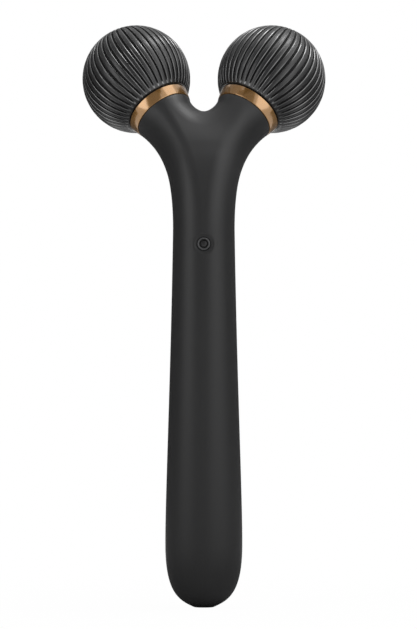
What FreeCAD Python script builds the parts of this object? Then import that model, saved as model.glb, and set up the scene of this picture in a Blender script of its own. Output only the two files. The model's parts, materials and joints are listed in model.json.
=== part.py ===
import FreeCAD, Part
import math
import os
import Sketcher

# Sonic facial roller, millimetres.
# Origin: centre of the charging jack's mouth at the lower tip. +Z runs up the handle, the button faces -Y,
# +X is to the right of someone who looks at the button, and the head leans back towards +Y.

Vector = FreeCAD.Vector
Z_AXIS = Vector(0, 0, 1)
SIDES = (("left", -1), ("right", 1))

# Driving dimensions: alias, value, meaning
SIZES = [
    ("tip_flat", 2.3, "radius of the flat round the jack at the lower tip"),
    ("tip_round_out", 4.32, "radius that the tip's curve is drawn towards"),
    ("tip_round_up", 1.72, "height at which it is drawn there"),
    ("tip_round_rise", 1.09, "height at which the tip turns into the grip"),
    ("grip_radius", 10.15, "half depth of the handle at its widest"),
    ("grip_height", 17.2, "height of the widest section"),
    ("grip_hold", 14.0, "how far the grip stays full above it"),
    ("neck_radius", 8.05, "half depth of the neck"),
    ("neck_height", 102.8, "height at which the head starts to lean"),
    ("neck_hold", 40.0, "how far below the neck its taper is drawn out"),
    ("neck_taper", 0.6, "radius added over that length"),
    ("crown_flat", 0.7, "width of the flat line down the front and back"),
    ("wall", 1.8, "wall of the handle"),
    ("tip_wall", 2.6, "floor of the handle round the jack"),
    ("hollow_foot", 4.8, "radius of the hollow at that floor"),
    ("hollow_full", 11.0, "height at which the hollow is full"),
    ("cavity_rise", 7.2, "from the neck up to the top of the handle's hollow"),
    ("head_lean", 32.0, "lean of the head behind the handle, degrees"),
    ("bend_radius", 32.0, "radius of the bend of the neck"),
    ("arm_splay", 32.2, "angle of each arm from the middle of the head, degrees"),
    ("arm_length", 35.3, "from the crossing of the arm axes to a ball's centre"),
    ("arm_radius", 8.42, "radius of the arm's shoulder"),
    ("arm_bore", 5.2, "radius of the bore of each arm"),
    ("shoulder_back", 14.85, "from a ball's centre back to the shoulder"),
    ("flare_angle", 18.0, "outward flare of the arm at the shoulder, degrees"),
    ("flare_length", 9.0, "length over which it flares"),
    ("arm_lead", 14.0, "length over which the outside leaves the neck"),
    ("crest_lead", 12.0, "length over which the crest leaves the neck"),
    ("crest_tail", 12.0, "length over which the crest joins the arm"),
    ("crotch_reach", 8.8, "from the crossing of the axes up to the saddle's crest line"),
    ("crotch_depth", 8.4, "from that line up to the bottom of the fork"),
    ("crotch_width", 5.0, "half width of the level part of that line"),
    ("crotch_steep", 45.0, "angle at which that line meets the arm, degrees"),
    ("spigot_radius", 7.2, "radius of the spigot inside the collar"),
    ("spigot_length", 2.0, "length of the spigot"),
    ("collar_height", 2.8, "height of the collar"),
    ("collar_flare", 0.8, "growth of the collar's radius over its height"),
    ("collar_proud", 0.1, "how far the collar stands out from the shoulder"),
    ("collar_lip", 0.7, "thickness of the collar's inner lip"),
    ("collar_gap", 0.2, "shadow gap between shoulder and collar"),
    ("collar_round", 0.2, "rounding of the collar's outer edges"),
    ("ball_radius", 15.0, "radius of the balls"),
    ("ball_face", 11.5, "from a ball's centre to its flat inner face"),
    ("rib_count", 45, "ribs round a ball"),
    ("rib_rows", 10, "rows of facets from the inner face to the cap"),
    ("groove_share", 0.4, "width of a groove as a share of the ribs' pitch"),
    ("groove_depth", 0.45, "depth of the grooves"),
    ("groove_fade", 54.0, "latitude from which the grooves run out towards the cap, degrees"),
    ("cap_margin", 0.15, "width of the ball's edge round the cap"),
    ("swirl_square", 0.1575, "bend of the ribs, radians per latitude squared"),
    ("swirl_cube", 0.108, "growth of that bend, radians per latitude cubed"),
    ("cap_radius", 7.0, "radius of the ball's end cap"),
    ("cap_seat", 11.6, "from the ball's centre to the seat of the cap"),
    ("cap_plug", 2.0, "length of the cap's plug"),
    ("clip_room", 4.4, "radius of the room for the clip"),
    ("axle_radius", 2.0, "radius of the axles"),
    ("axle_end", 6.2, "from the ball's centre to the axle's outer end"),
    ("axle_root", 27.0, "from the ball's centre back to the axle's inner end"),
    ("axle_chamfer", 0.35, "chamfer of the axle's ends"),
    ("clip_groove_radius", 1.5, "radius of the axle in its clip groove"),
    ("clip_thickness", 0.6, "thickness of the retaining clip"),
    ("clip_radius", 3.4, "outer radius of the retaining clip"),
    ("clip_mouth", 2.4, "opening of the retaining clip"),
    ("bush_radius", 3.6, "outer radius of the bush"),
    ("bush_end", 4.2, "from the ball's centre to the bush's outer end"),
    ("bush_stand", 0.75, "how far the bush stands out of the ball's inner face"),
    ("washer_thickness", 0.7, "thickness of the thrust washer"),
    ("yoke_stem", 9.0, "length of the yoke's stem below the crossing"),
    ("running_gap", 0.05, "clearance of running fits"),
    ("press_gap", 0.01, "clearance of pressed and glued fits"),
    ("loose_gap", 0.2, "clearance of parts that drop in"),
    ("jack_radius", 2.0, "radius of the jack's nose"),
    ("jack_bore", 1.3, "radius of the jack's socket"),
    ("jack_depth", 9.5, "depth of the jack's socket"),
    ("jack_length", 12.5, "length of the jack"),
    ("jack_body", 3.4, "radius of the jack's body"),
    ("jack_flange", 4.2, "radius of the jack's flange"),
    ("jack_flange_thickness", 1.2, "thickness of the jack's flange"),
    ("gasket_thickness", 0.6, "thickness of the jack's gasket"),
    ("cell_radius", 5.0, "radius of the cell"),
    ("cell_nub_radius", 1.6, "radius of the cell's end contact"),
    ("cell_nub_height", 1.0, "height of the cell's end contact"),
    ("cell_round", 0.5, "rounding of the cell's ends"),
    ("pad_thickness", 1.5, "thickness of the pad under the cell"),
    ("cradle_wall", 1.2, "wall of the chassis round the cell"),
    ("cradle_opening", 1.0, "how far in front of the axis the cradle ends"),
    ("chassis_floor", 1.5, "thickness of the chassis floors"),
    ("socket_hold", 5.0, "length of the chassis round the jack"),
    ("board_width", 10.0, "width of the board"),
    ("board_length", 44.0, "length of the board"),
    ("board_thickness", 1.0, "thickness of the board"),
    ("board_front", 2.9, "from the handle's axis forward to the board's face"),
    ("board_rise", 0.6, "gap between the chassis floor and the board"),
    ("board_headroom", 0.4, "gap between the board and the top of the handle's hollow"),
    ("spine_thickness", 1.2, "thickness of the chassis behind the board"),
    ("screw_radius", 0.8, "radius of the screws"),
    ("screw_head_radius", 1.6, "radius of the screw heads"),
    ("screw_head_height", 1.0, "height of the screw heads"),
    ("screw_inset", 3.2, "from the board's ends to the screws"),
    ("screw_bite", 3.6, "length of the screw in its boss"),
    ("boss_radius", 1.9, "radius of the screw bosses"),
    ("motor_radius", 3.0, "radius of the motor"),
    ("motor_length", 15.0, "length of the motor"),
    ("motor_rise", 9.5, "from the chassis floor to the motor"),
    ("sleeve_wall", 0.5, "wall of the motor's sleeve"),
    ("sleeve_length", 12.0, "length of the motor's sleeve"),
    ("saddle_width", 2.0, "width of the ribs that hold the motor"),
    ("saddle_wall", 1.1, "wall of those ribs beside the motor"),
    ("shaft_radius", 0.5, "radius of the motor shaft"),
    ("shaft_out", 5.4, "how far the shaft stands out of the motor"),
    ("shaft_in", 4.0, "how far it reaches into the motor"),
    ("weight_radius", 2.6, "radius of the eccentric weight"),
    ("weight_length", 4.2, "length of the eccentric weight"),
    ("weight_hub", 1.1, "radius of the weight's hub"),
    ("weight_gap", 0.8, "gap between the motor and the weight"),
    ("button_drop", 4.1, "from the neck down to the button"),
    ("button_radius", 1.72, "radius of the button"),
    ("button_rim", 0.3, "how far the button's rim stands out"),
    ("button_rim_width", 0.5, "width of the button's rim"),
    ("button_dish", 0.25, "depth of the button's dish below the handle's face"),
    ("button_flange", 2.4, "radius of the button's flange"),
    ("button_flange_thickness", 0.6, "thickness of the button's flange"),
    ("button_stem", 0.9, "radius of the button's stem"),
    ("button_travel", 0.4, "travel of the button"),
    ("button_gap", 0.12, "clearance round the button"),
    ("button_hollow", 7.0, "radius of the round hollow that the button lies in"),
    ("button_hollow_depth", 0.3, "depth of that hollow"),
    ("seal_radius", 3.0, "radius of the button's gasket"),
    ("seal_thickness", 0.5, "thickness of the button's gasket"),
    ("seal_seat", 2.0, "wall of the front shell at the gasket's seat"),
    ("switch_side", 3.2, "side of the switch"),
    ("switch_height", 1.1, "height of the switch"),
    ("switch_plunger", 0.8, "radius of the switch's plunger"),
    ("switch_plunger_height", 0.3, "height of the switch's plunger"),
    ("chip_height", 0.8, "height of the chips"),
    ("lead_radius", 0.45, "radius of the leads"),
    ("lead_spread", 3.0, "from the middle to each cell lead"),
    ("lead_length", 6.5, "length of the cell leads"),
    ("motor_lead_spread", 1.2, "from the middle to each motor lead"),
]

# Chips on the board: name, left edge, foot above the board's middle, width, height
CHIPS = [
    ("controller_chip", -3.6, -9.0, 4.0, 4.0),
    ("charger_chip", 1.2, -7.0, 2.4, 3.0),
    ("motor_driver", -1.5, 0.0, 3.0, 1.6),
    ("capacitor", 2.6, -1.0, 1.0, 2.0),
]

doc = FreeCAD.newDocument("facial_roller")
sheet = doc.addObject("Spreadsheet::Sheet", "Sizes")
for row, (alias, value, meaning) in enumerate(SIZES, start=1):
    sheet.set(f"A{row}", alias)
    sheet.set(f"B{row}", str(value))
    sheet.set(f"C{row}", meaning)
    sheet.setAlias(f"B{row}", alias)
doc.recompute()


class Size:
    """A size known as a number and as the expression that gives it from the sheet."""

    def __init__(self, value, text):
        self.value = value
        self.text = text

    @staticmethod
    def of(other):
        if isinstance(other, Size):
            return other
        return Size(float(other), repr(float(other)))

    def __add__(self, other):
        other = Size.of(other)
        return Size(self.value + other.value, f"({self.text} + {other.text})")

    def __sub__(self, other):
        other = Size.of(other)
        return Size(self.value - other.value, f"({self.text} - {other.text})")

    def __mul__(self, other):
        other = Size.of(other)
        return Size(self.value * other.value, f"({self.text} * {other.text})")

    def __truediv__(self, other):
        other = Size.of(other)
        return Size(self.value / other.value, f"({self.text} / {other.text})")

    def __neg__(self):
        return Size(-self.value, f"(-{self.text})")

    __radd__ = __add__
    __rmul__ = __mul__


class SizeTable:
    """Every size of the sheet as an attribute."""

    def __init__(self):
        for alias, _, _ in SIZES:
            setattr(self, alias, Size(float(sheet.get(alias)), f"{sheet.Name}.{alias}"))


size = SizeTable()
ZERO = Size.of(0)
nodes = {}


def keep(label, feature):
    """Name a finished piece."""
    feature.Label = label
    nodes[label] = feature
    return feature


# Frames

LEAN = math.radians(size.head_lean.value)
SPLAY = math.radians(size.arm_splay.value)
BEND = size.bend_radius.value
NECK_Z = size.neck_height.value
NECK_S = -BEND * LEAN
CROSSING = Vector(0, BEND * (1 - math.cos(LEAN)), NECK_Z + BEND * math.sin(LEAN))


def arm_axis(side):
    """Direction of an arm, from the crossing to the ball."""
    run = math.cos(SPLAY)
    return Vector(side * math.sin(SPLAY), run * math.sin(LEAN), run * math.cos(LEAN))


def arm_place(side):
    """Placement at a ball's centre with local Z out along the arm."""
    axis = arm_axis(side)
    return FreeCAD.Placement(CROSSING + axis * size.arm_length.value, FreeCAD.Rotation(Z_AXIS, axis))


def upright(x=0.0, y=0.0, z=0.0):
    """Placement with local Z up."""
    return FreeCAD.Placement(Vector(x, y, z), FreeCAD.Rotation())


# Ways of making a piece

def plane_of(body, role):
    return next(f for f in body.Origin.OriginFeatures if f.Role == role)


def turned(label, outline, place, arc_radius=None):
    """Body turned about local Z from a closed outline of (radius, height) corners.

    A radius or height of None lets the corner lie on the arc about the origin. The side that joins two
    such corners is that arc.
    """
    body = doc.addObject("PartDesign::Body", label)
    sketch = body.newObject("Sketcher::SketchObject", label + "_profile")
    sketch.AttachmentSupport = [(plane_of(body, "XZ_Plane"), "")]
    sketch.MapMode = "FlatFace"
    points = [corner_point(radius, height, arc_radius) for radius, height in outline]
    count = len(outline)
    arcs = []
    for i in range(count):
        start, end = points[i], points[(i + 1) % count]
        if None in outline[i] and None in outline[(i + 1) % count]:
            circle = Part.Circle(Vector(0, 0, 0), Z_AXIS, arc_radius.value)
            low, high = sorted(math.atan2(p.y, p.x) for p in (start, end))
            sketch.addGeometry(Part.ArcOfCircle(circle, low, high), False)
            arcs.append(i)
        else:
            sketch.addGeometry(Part.LineSegment(start, end), False)

    def corner(edge, at_end):
        if edge not in arcs:
            return 2 if at_end else 1
        rising = points[(edge + 1) % count].y > points[edge].y
        return 2 if at_end == rising else 1

    for i in range(count):
        j = (i + 1) % count
        sketch.addConstraint(Sketcher.Constraint("Coincident", i, corner(i, True), j, corner(j, False)))
    for i in arcs:
        sketch.addConstraint(Sketcher.Constraint("Coincident", i, 3, -1, 1))
        spot = sketch.addConstraint(Sketcher.Constraint("Radius", i, arc_radius.value))
        sketch.setExpression(f"Constraints[{spot}]", arc_radius.text)
    for i, (radius, height) in enumerate(outline):
        place_corner(sketch, i, corner(i, False), radius, height, points[i])
    turn = body.newObject("PartDesign::Revolution", label + "_turn")
    turn.Profile = sketch
    turn.ReferenceAxis = (sketch, ["V_Axis"])
    turn.Angle = 360
    sketch.Visibility = False
    body.Placement = place
    return body


def corner_point(radius, height, arc_radius):
    """Where a corner of an outline starts."""
    if radius is None:
        height = Size.of(height).value
        return Vector(math.sqrt(arc_radius.value ** 2 - height ** 2), height, 0)
    radius = Size.of(radius).value
    if height is None:
        return Vector(radius, math.sqrt(arc_radius.value ** 2 - radius ** 2), 0)
    return Vector(radius, Size.of(height).value, 0)


# A corner nearer to an axis than this lies on it
ON_AXIS = 1e-9


def place_corner(sketch, edge, end, radius, height, point):
    """Tie a corner of a sketch to its sizes."""
    ties = (("DistanceX", -2, radius, point.x), ("DistanceY", -1, height, point.y))
    for kind, axis_id, wanted, found in ties:
        if wanted is None:
            continue
        wanted = Size.of(wanted)
        if abs(found) < ON_AXIS:
            sketch.addConstraint(Sketcher.Constraint("PointOnObject", edge, end, axis_id))
            continue
        spot = sketch.addConstraint(Sketcher.Constraint(kind, -1, 1, edge, end, found))
        sketch.setExpression(f"Constraints[{spot}]", wanted.text)


def bind(feature, **values):
    """Tie properties of a feature to sizes."""
    for name, value in values.items():
        feature.setExpression(name, Size.of(value).text)


def move(feature, x, y, z, rotation=None):
    """Tie a feature's place to sizes."""
    feature.Placement = FreeCAD.Placement(Vector(0, 0, 0), rotation or FreeCAD.Rotation())
    for axis, value in zip("xyz", (x, y, z)):
        feature.setExpression(f"Placement.Base.{axis}", Size.of(value).text)


def block(name, low, extent):
    """Box from its lowest corner and its lengths."""
    feature = doc.addObject("Part::Box", name)
    bind(feature, Length=extent[0], Width=extent[1], Height=extent[2])
    move(feature, *low)
    return feature


BACKWARD = FreeCAD.Rotation(Vector(1, 0, 0), -90)


def rod(name, radius, length, base, rotation=None):
    """Cylinder up from its base, or along its rotated axis."""
    feature = doc.addObject("Part::Cylinder", name)
    bind(feature, Radius=radius, Height=length)
    move(feature, *base, rotation)
    return feature


def arm_rod(name, radius, start, end, side):
    """Cylinder along an arm, between two distances from the ball's centre."""
    feature = doc.addObject("Part::Cylinder", name)
    bind(feature, Radius=radius, Height=end - start)
    place = arm_place(side)
    place.Base = place.multVec(Vector(0, 0, start.value))
    feature.Placement = place
    return feature


def joined(name, parts):
    feature = doc.addObject("Part::MultiFuse", name)
    feature.Shapes = parts
    return feature


def cut(name, base, tools):
    feature = doc.addObject("Part::Cut", name)
    feature.Base = base
    feature.Tool = tools[0] if len(tools) == 1 else joined(name + "_tools", tools)
    return feature


def shared(name, base, tool):
    feature = doc.addObject("Part::Common", name)
    feature.Base = base
    feature.Tool = tool
    return feature


def shaped(name, shape):
    feature = doc.addObject("Part::Feature", name)
    feature.Shape = shape
    return feature


# Housing form: the handle and the Y head, drawn on a sheet that bends back with the neck

def spine(along):
    """Depth, height and lean of the middle sheet at a length measured from the end of the bend."""
    if along < 0:
        lean = (along - NECK_S) / BEND
        return BEND * (1 - math.cos(lean)), NECK_Z + BEND * math.sin(lean), lean
    return CROSSING.y + along * math.sin(LEAN), CROSSING.z + along * math.cos(LEAN), LEAN


def on_sheet(x, along, forward):
    """Point of the sheet, or forward of it."""
    y, z, lean = spine(along)
    return Vector(x, y - forward * math.cos(lean), z + forward * math.sin(lean))


def bezier(poles, part):
    """Point of a cubic curve drawn on the sheet."""
    rest = 1 - part
    share = (rest ** 3, 3 * rest ** 2 * part, 3 * rest * part ** 2, part ** 3)
    return tuple(sum(f * pole[i] for f, pole in zip(share, poles)) for i in (0, 1))


def mirrored_bezier(poles, part):
    """The same curve carried across the middle, for parts from -1 to 1."""
    x, along = bezier(poles, abs(part))
    return math.copysign(x, part), along


def through(points, stations):
    curve = Part.BSplineCurve()
    curve.interpolate(Points=points, Parameters=stations)
    return curve


def half_ellipse(crest, rim, depth):
    """Poles of the half ellipse from the back crest over the rim to the front crest."""
    lean = spine(crest[1])[2]
    rise = rim[1] - crest[1]
    centre = on_sheet(crest[0], crest[1], 0)
    side = Vector(rim[0] - crest[0], rise * math.sin(lean), rise * math.cos(lean))
    deep = Vector(0, -depth * math.cos(lean), depth * math.sin(lean))
    return [centre - deep, centre - deep + side, centre + side, centre + side + deep, centre + deep]


# Two quarter circles as one curve
ARC_WEIGHTS = (1, math.sqrt(0.5), 1, math.sqrt(0.5), 1)
ARC_KNOTS = [0, 0.5, 1]
ARC_MULTIPLICITIES = [3, 2, 3]

# Ends of one quarter circle, ends of one cubic, and the span of both
QUARTER_ENDS = [3, 3]
CUBIC_ENDS = [4, 4]
WHOLE_SPAN = [0, 1]


def skin(sections, stations):
    """Face through half ellipses, exact round each of them."""
    rows = [through([section[k] for section in sections], stations) for k in range(len(ARC_WEIGHTS))]
    poles = [curve.getPoles() for curve in rows]
    weights = [[weight] * len(poles[0]) for weight in ARC_WEIGHTS]
    surface = Part.BSplineSurface()
    surface.buildFromPolesMultsKnots(poles, ARC_MULTIPLICITIES, rows[0].getMultiplicities(), ARC_KNOTS,
                                     rows[0].getKnots(), False, False, 2, 3, weights)
    return surface.toShape()


def net(columns, across, up):
    """Face through a net of points."""
    lines = [through(column, up) for column in columns]
    line_poles = [line.getPoles() for line in lines]
    rows = [through(list(row), across) for row in zip(*line_poles)]
    poles = [list(column) for column in zip(*[row.getPoles() for row in rows])]
    surface = Part.BSplineSurface()
    surface.buildFromPolesMultsKnots(poles, rows[0].getMultiplicities(), lines[0].getMultiplicities(),
                                     rows[0].getKnots(), lines[0].getKnots(), False, False, 3, 3)
    return surface.toShape()


def beside(point, direction, distance):
    return point[0] + direction[0] * distance, point[1] + direction[1] * distance


# Sections of a skin, the pole distance of a cubic that follows a quarter circle, and the power by which the
# crowns sink into the fork
STATIONS = 13
QUARTER = 0.5523
CROWN_DIP = 3


def head_faces():
    """The head: outer half tubes, the saddle of the fork, and the crowns between them."""
    neck = size.neck_radius.value
    arm = size.arm_radius.value
    half_flat = size.crown_flat.value / 2
    run = (math.sin(SPLAY), math.cos(SPLAY))
    out = (math.cos(SPLAY), -math.sin(SPLAY))
    flare = SPLAY + math.radians(size.flare_angle.value)
    flared = (math.sin(flare), math.cos(flare))
    seat = beside((0, 0), run, size.arm_length.value - size.shoulder_back.value)
    rim_out = beside(seat, out, arm)
    rim_in = beside(seat, out, -arm)
    crest = [(half_flat, NECK_S), (half_flat, NECK_S + size.crest_lead.value),
             beside(seat, run, -size.crest_tail.value), seat]
    outside = [(half_flat + neck, NECK_S), (half_flat + neck, NECK_S + size.arm_lead.value),
               beside(rim_out, flared, -size.flare_length.value), rim_out]
    reach = size.crotch_reach.value
    level = size.crotch_width.value
    steep = math.radians(size.crotch_steep.value)
    saddle_crest = [(0, reach), (level, reach),
                    beside(seat, (math.sin(steep), math.cos(steep)), -level), seat]
    bottom = reach + size.crotch_depth.value
    saddle_rim = [(0, bottom), (QUARTER * rim_in[0], bottom),
                  (rim_in[0], rim_in[1] - QUARTER * (rim_in[1] - bottom)), rim_in]
    up = [i / (STATIONS - 1) for i in range(STATIONS)]
    across = [2 * part - 1 for part in up]

    def depth(part):
        return neck + (arm - neck) * part ** 2 * (3 - 2 * part)

    def crown(facing):
        columns = []
        for u in across:
            dip_x, dip_along = mirrored_bezier(saddle_crest, u)
            column = []
            for v in up:
                x, along = bezier(crest, v)
                dip = v ** CROWN_DIP
                column.append(on_sheet(u * x + dip * (dip_x - u * seat[0]),
                                       along + dip * (dip_along - seat[1]), facing * depth(v)))
            columns.append(column)
        return net(columns, across, up)

    right = skin([half_ellipse(bezier(crest, v), bezier(outside, v), depth(v)) for v in up], up)
    left = right.mirror(Vector(0, 0, 0), Vector(1, 0, 0))
    saddle = skin([half_ellipse(mirrored_bezier(saddle_crest, u), mirrored_bezier(saddle_rim, u), arm)
                   for u in across], across)
    return [right, left, saddle, crown(1), crown(-1)]


def quarter_round(radius, height):
    """Poles of a level quarter circle, from the right side round to the front."""
    half_flat = size.crown_flat.value / 2
    return [Vector(half_flat + radius, 0, height), Vector(half_flat + radius, -radius, height),
            Vector(half_flat, -radius, height)]


def quarter_skin(outline):
    """Quarter turn of a cubic outline given by its (radius, height) poles."""
    sections = [quarter_round(radius.value, height.value) for radius, height in outline]
    poles = [list(row) for row in zip(*sections)]
    weights = [[weight] * len(outline) for weight in ARC_WEIGHTS[:len(poles)]]
    surface = Part.BSplineSurface()
    surface.buildFromPolesMultsKnots(poles, QUARTER_ENDS, CUBIC_ENDS, WHOLE_SPAN, WHOLE_SPAN, False, False,
                                     2, 3, weights)
    return surface.toShape()


def front_strip(outline):
    """Flat strip down the middle of the front."""
    curve = Part.BezierCurve()
    curve.setPoles([quarter_round(radius.value, height.value)[-1] for radius, height in outline])
    return curve.toShape().extrude(Vector(-size.crown_flat.value, 0, 0))


def handle_faces():
    """The handle: four quarter turns, set apart by the strips down the front and back."""
    tip = [(size.tip_flat, ZERO), (size.tip_round_out, size.tip_round_up),
           (size.grip_radius, size.tip_round_rise), (size.grip_radius, size.grip_height)]
    grip = [(size.grip_radius, size.grip_height), (size.grip_radius, size.grip_height + size.grip_hold),
            (size.neck_radius + size.neck_taper, size.neck_height - size.neck_hold),
            (size.neck_radius, size.neck_height)]
    faces = []
    for outline in (tip, grip):
        quarter = quarter_skin(outline)
        front = [quarter, quarter.mirror(Vector(0, 0, 0), Vector(1, 0, 0)), front_strip(outline)]
        for part in front:
            faces += part.Faces + part.mirror(Vector(0, 0, 0), Vector(0, 1, 0)).Faces
    return faces


EDGE_SPOTS = 5
SEWING_TOLERANCE = 1e-4


def lid(edges, base, normal):
    """Flat face inside the edges that lie in one plane."""
    flat = []
    for edge in edges:
        spots = edge.discretize(EDGE_SPOTS)
        if all(abs((spot - base).dot(normal)) < SEWING_TOLERANCE for spot in spots):
            flat.append(edge)
    return Part.Face(Part.Wire(Part.__sortEdges__(flat)))


def housing_solid():
    skin_faces = head_faces() + handle_faces()
    sewn = Part.makeCompound(skin_faces)
    sewn.sewShape()
    lids = [lid(sewn.Edges, Vector(0, 0, 0), Z_AXIS)]
    for _, side in SIDES:
        place = arm_place(side)
        lids.append(lid(sewn.Edges, place.multVec(Vector(0, 0, -size.shoulder_back.value)), arm_axis(side)))
    closed = Part.makeCompound(skin_faces + lids)
    closed.sewShape()
    solid = Part.Solid(closed.Shells[0])
    if solid.Volume < 0:
        solid.reverse()
    return solid


def front_half():
    """Everything in front of the parting sheet."""
    reach = 2 * size.arm_length.value
    below = Vector(0, 0, -reach)
    foot = Vector(0, 0, NECK_Z)
    middle = on_sheet(0, NECK_S / 2, 0)
    far = on_sheet(0, 2 * reach, 0)
    wire = Part.Wire([
        Part.LineSegment(below, foot).toShape(),
        Part.Arc(foot, middle, CROSSING).toShape(),
        Part.LineSegment(CROSSING, far).toShape(),
        Part.LineSegment(far, Vector(0, -reach, far.z)).toShape(),
        Part.LineSegment(Vector(0, -reach, far.z), Vector(0, -reach, below.z)).toShape(),
        Part.LineSegment(Vector(0, -reach, below.z), below).toShape(),
    ])
    face = Part.Face(wire)
    face.translate(Vector(-reach, 0, 0))
    return face.extrude(Vector(2 * reach, 0, 0))


# The seam of a turned face must not lie in the parting sheet
SEAM_IN_FRONT = FreeCAD.Rotation(Z_AXIS, 90)


def hollow_full_top():
    """Height up to which the hollow stays full."""
    return size.grip_height + size.grip_hold / 2


def hollow_radius(height):
    """Radius of the hollow where it narrows towards the neck."""
    share = (height - hollow_full_top()) / (size.neck_height - hollow_full_top())
    return size.grip_radius - size.wall - (size.grip_radius - size.neck_radius) * share


def handle_hollow():
    """Hollow of the handle, turned, with its floor over the tip and its top in the neck."""
    grip = size.grip_radius - size.wall
    neck = size.neck_radius - size.wall
    return turned("handle_hollow", [
        (ZERO, size.tip_wall), (size.hollow_foot, size.tip_wall), (grip, size.hollow_full),
        (grip, hollow_full_top()), (neck, size.neck_height), (neck, cavity_top()),
        (ZERO, cavity_top()),
    ], FreeCAD.Placement(Vector(0, 0, 0), SEAM_IN_FRONT))


def housing():
    """Front and rear shells."""
    spigot_start = -(size.shoulder_back + size.spigot_length)
    spigot_end = -(size.shoulder_back - size.spigot_length)
    solid = [shaped("housing_form", housing_solid())]
    hollow = [handle_hollow()]
    for name, side in SIDES:
        solid.append(arm_rod(name + "_spigot", size.spigot_radius, spigot_start, spigot_end, side))
        hollow.append(arm_rod(name + "_bore", size.arm_bore, -size.arm_length, ZERO, side))
    crossing = doc.addObject("Part::Sphere", "bore_crossing")
    bind(crossing, Radius=size.arm_bore)
    crossing.Placement.Base = CROSSING
    stem = doc.addObject("Part::Cylinder", "stem_bore")
    bind(stem, Radius=size.arm_bore)
    stem.Height = CROSSING.z - cavity_top().value + size.yoke_stem.value / 2
    stem.Placement = stem_place()
    hollow += [crossing, stem]
    hollow.append(rod("jack_hole", size.jack_radius + size.loose_gap, size.tip_wall * 2,
                      (ZERO, ZERO, -size.tip_wall / 2)))
    shell = cut("housing_shell", joined("housing_body", solid), hollow)
    region = shaped("front_region", front_half())
    face = size.neck_radius + size.grip_radius
    hole = rod("button_hole", size.button_radius + size.button_gap, face,
               (ZERO, -face, button_height()), BACKWARD)
    seat = rod("seal_recess", size.seal_radius + size.loose_gap, size.seal_seat * 2,
               (ZERO, -(button_face() - size.seal_seat), button_height()), BACKWARD)
    dish = doc.addObject("Part::Sphere", "button_dish")
    bind(dish, Radius=size.button_hollow)
    move(dish, ZERO, -(button_face() + size.button_hollow - size.button_hollow_depth), button_height())
    front = cut("front_cut", shared("front_blank", shell, region), [hole, seat, dish])
    keep("front_shell", front)
    rear = cut("rear_blank", shell, [region])
    bosses = []
    drills = []
    for spot, height in enumerate(screw_heights()):
        back = -(board_back() - size.spine_thickness)
        reach = hollow_radius(height) + size.wall / 2
        bosses.append(rod(f"boss_{spot}", size.boss_radius, reach - back, (ZERO, back, height), BACKWARD))
        drills.append(rod(f"boss_drill_{spot}", size.screw_radius + size.press_gap,
                          size.screw_bite + size.loose_gap, (ZERO, back, height), BACKWARD))
    keep("rear_shell", cut("rear_cut", joined("rear_bossed", [rear] + bosses), drills))


def button_face():
    """Radius of the handle's front at the button."""
    return size.neck_radius


def board_back():
    return size.board_front - size.board_thickness


def button_height():
    return size.neck_height - size.button_drop


def cradle_base():
    """Height of the floor that carries the cell."""
    return size.jack_length + size.chassis_floor + size.chassis_floor


def cell_base():
    return cradle_base() + size.pad_thickness


def cavity_top():
    """Height at which the hollow of the handle ends."""
    return size.neck_height + size.cavity_rise


def board_base():
    return cavity_top() - size.board_headroom - size.board_length


def chassis_top_floor():
    """Height of the top of the floor above the cell."""
    return board_base() - size.board_rise


def cell_length():
    """Length of the cell's can, which takes up the room between the jack and the board."""
    return chassis_top_floor() - size.chassis_floor * 2 - size.cell_nub_height - cell_base()


def screw_heights():
    return board_base() + size.screw_inset, board_base() + size.board_length - size.screw_inset


def motor_base():
    return chassis_top_floor() + size.motor_rise


def motor_back():
    """How far behind the handle's axis the motor's axis lies."""
    return size.motor_radius + size.sleeve_wall + size.loose_gap - board_back() + size.spine_thickness


def stem_place():
    """Placement at the crossing with local Z down the neck's chord."""
    chord = Vector(0, 0, NECK_Z) - CROSSING
    return FreeCAD.Placement(CROSSING, FreeCAD.Rotation(Z_AXIS, chord))


# Ball units

def rib_ring(latitude, end):
    """Corners of the right ball at one latitude: the two edges of every rib and the groove beside it."""
    count = int(size.rib_count.value)
    radius = size.ball_radius.value
    swirl = size.swirl_square.value * latitude ** 2 + size.swirl_cube.value * latitude ** 3
    fade = math.radians(size.groove_fade.value)
    depth = size.groove_depth.value * min(1, (end - latitude) / (end - fade))
    edge = (1 - size.groove_share.value) / 2
    corners = []
    for rib in range(count):
        for turn, sink in ((-edge, 0), (edge, 0), (0.5, depth)):
            longitude = 2 * math.pi * (rib + turn) / count - swirl
            reach = (radius - sink) * math.cos(latitude)
            corners.append(Vector(reach * math.cos(longitude), reach * math.sin(longitude),
                                  radius * math.sin(latitude)))
    return corners


def facet(*corners):
    return Part.Face(Part.makePolygon([*corners, corners[0]]))


def ribbed_form():
    """The right ball with its swirl of ribs, as flat facets between rings of corners."""
    start = -math.asin(size.ball_face.value / size.ball_radius.value)
    end = math.acos((size.cap_radius + size.cap_margin).value / size.ball_radius.value)
    rows = int(size.rib_rows.value)
    rings = [rib_ring(start + (end - start) * row / rows, end) for row in range(rows + 1)]
    facets = [facet(*rings[0]), facet(*rings[-1])]
    for low, high in zip(rings, rings[1:]):
        for i in range(len(low)):
            facets.append(facet(low[i - 1], low[i], high[i]))
            facets.append(facet(low[i - 1], high[i], high[i - 1]))
    closed = Part.makeCompound(facets)
    closed.sewShape()
    solid = Part.Solid(closed.Shells[0])
    if solid.Volume < 0:
        solid.reverse()
    return solid


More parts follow.
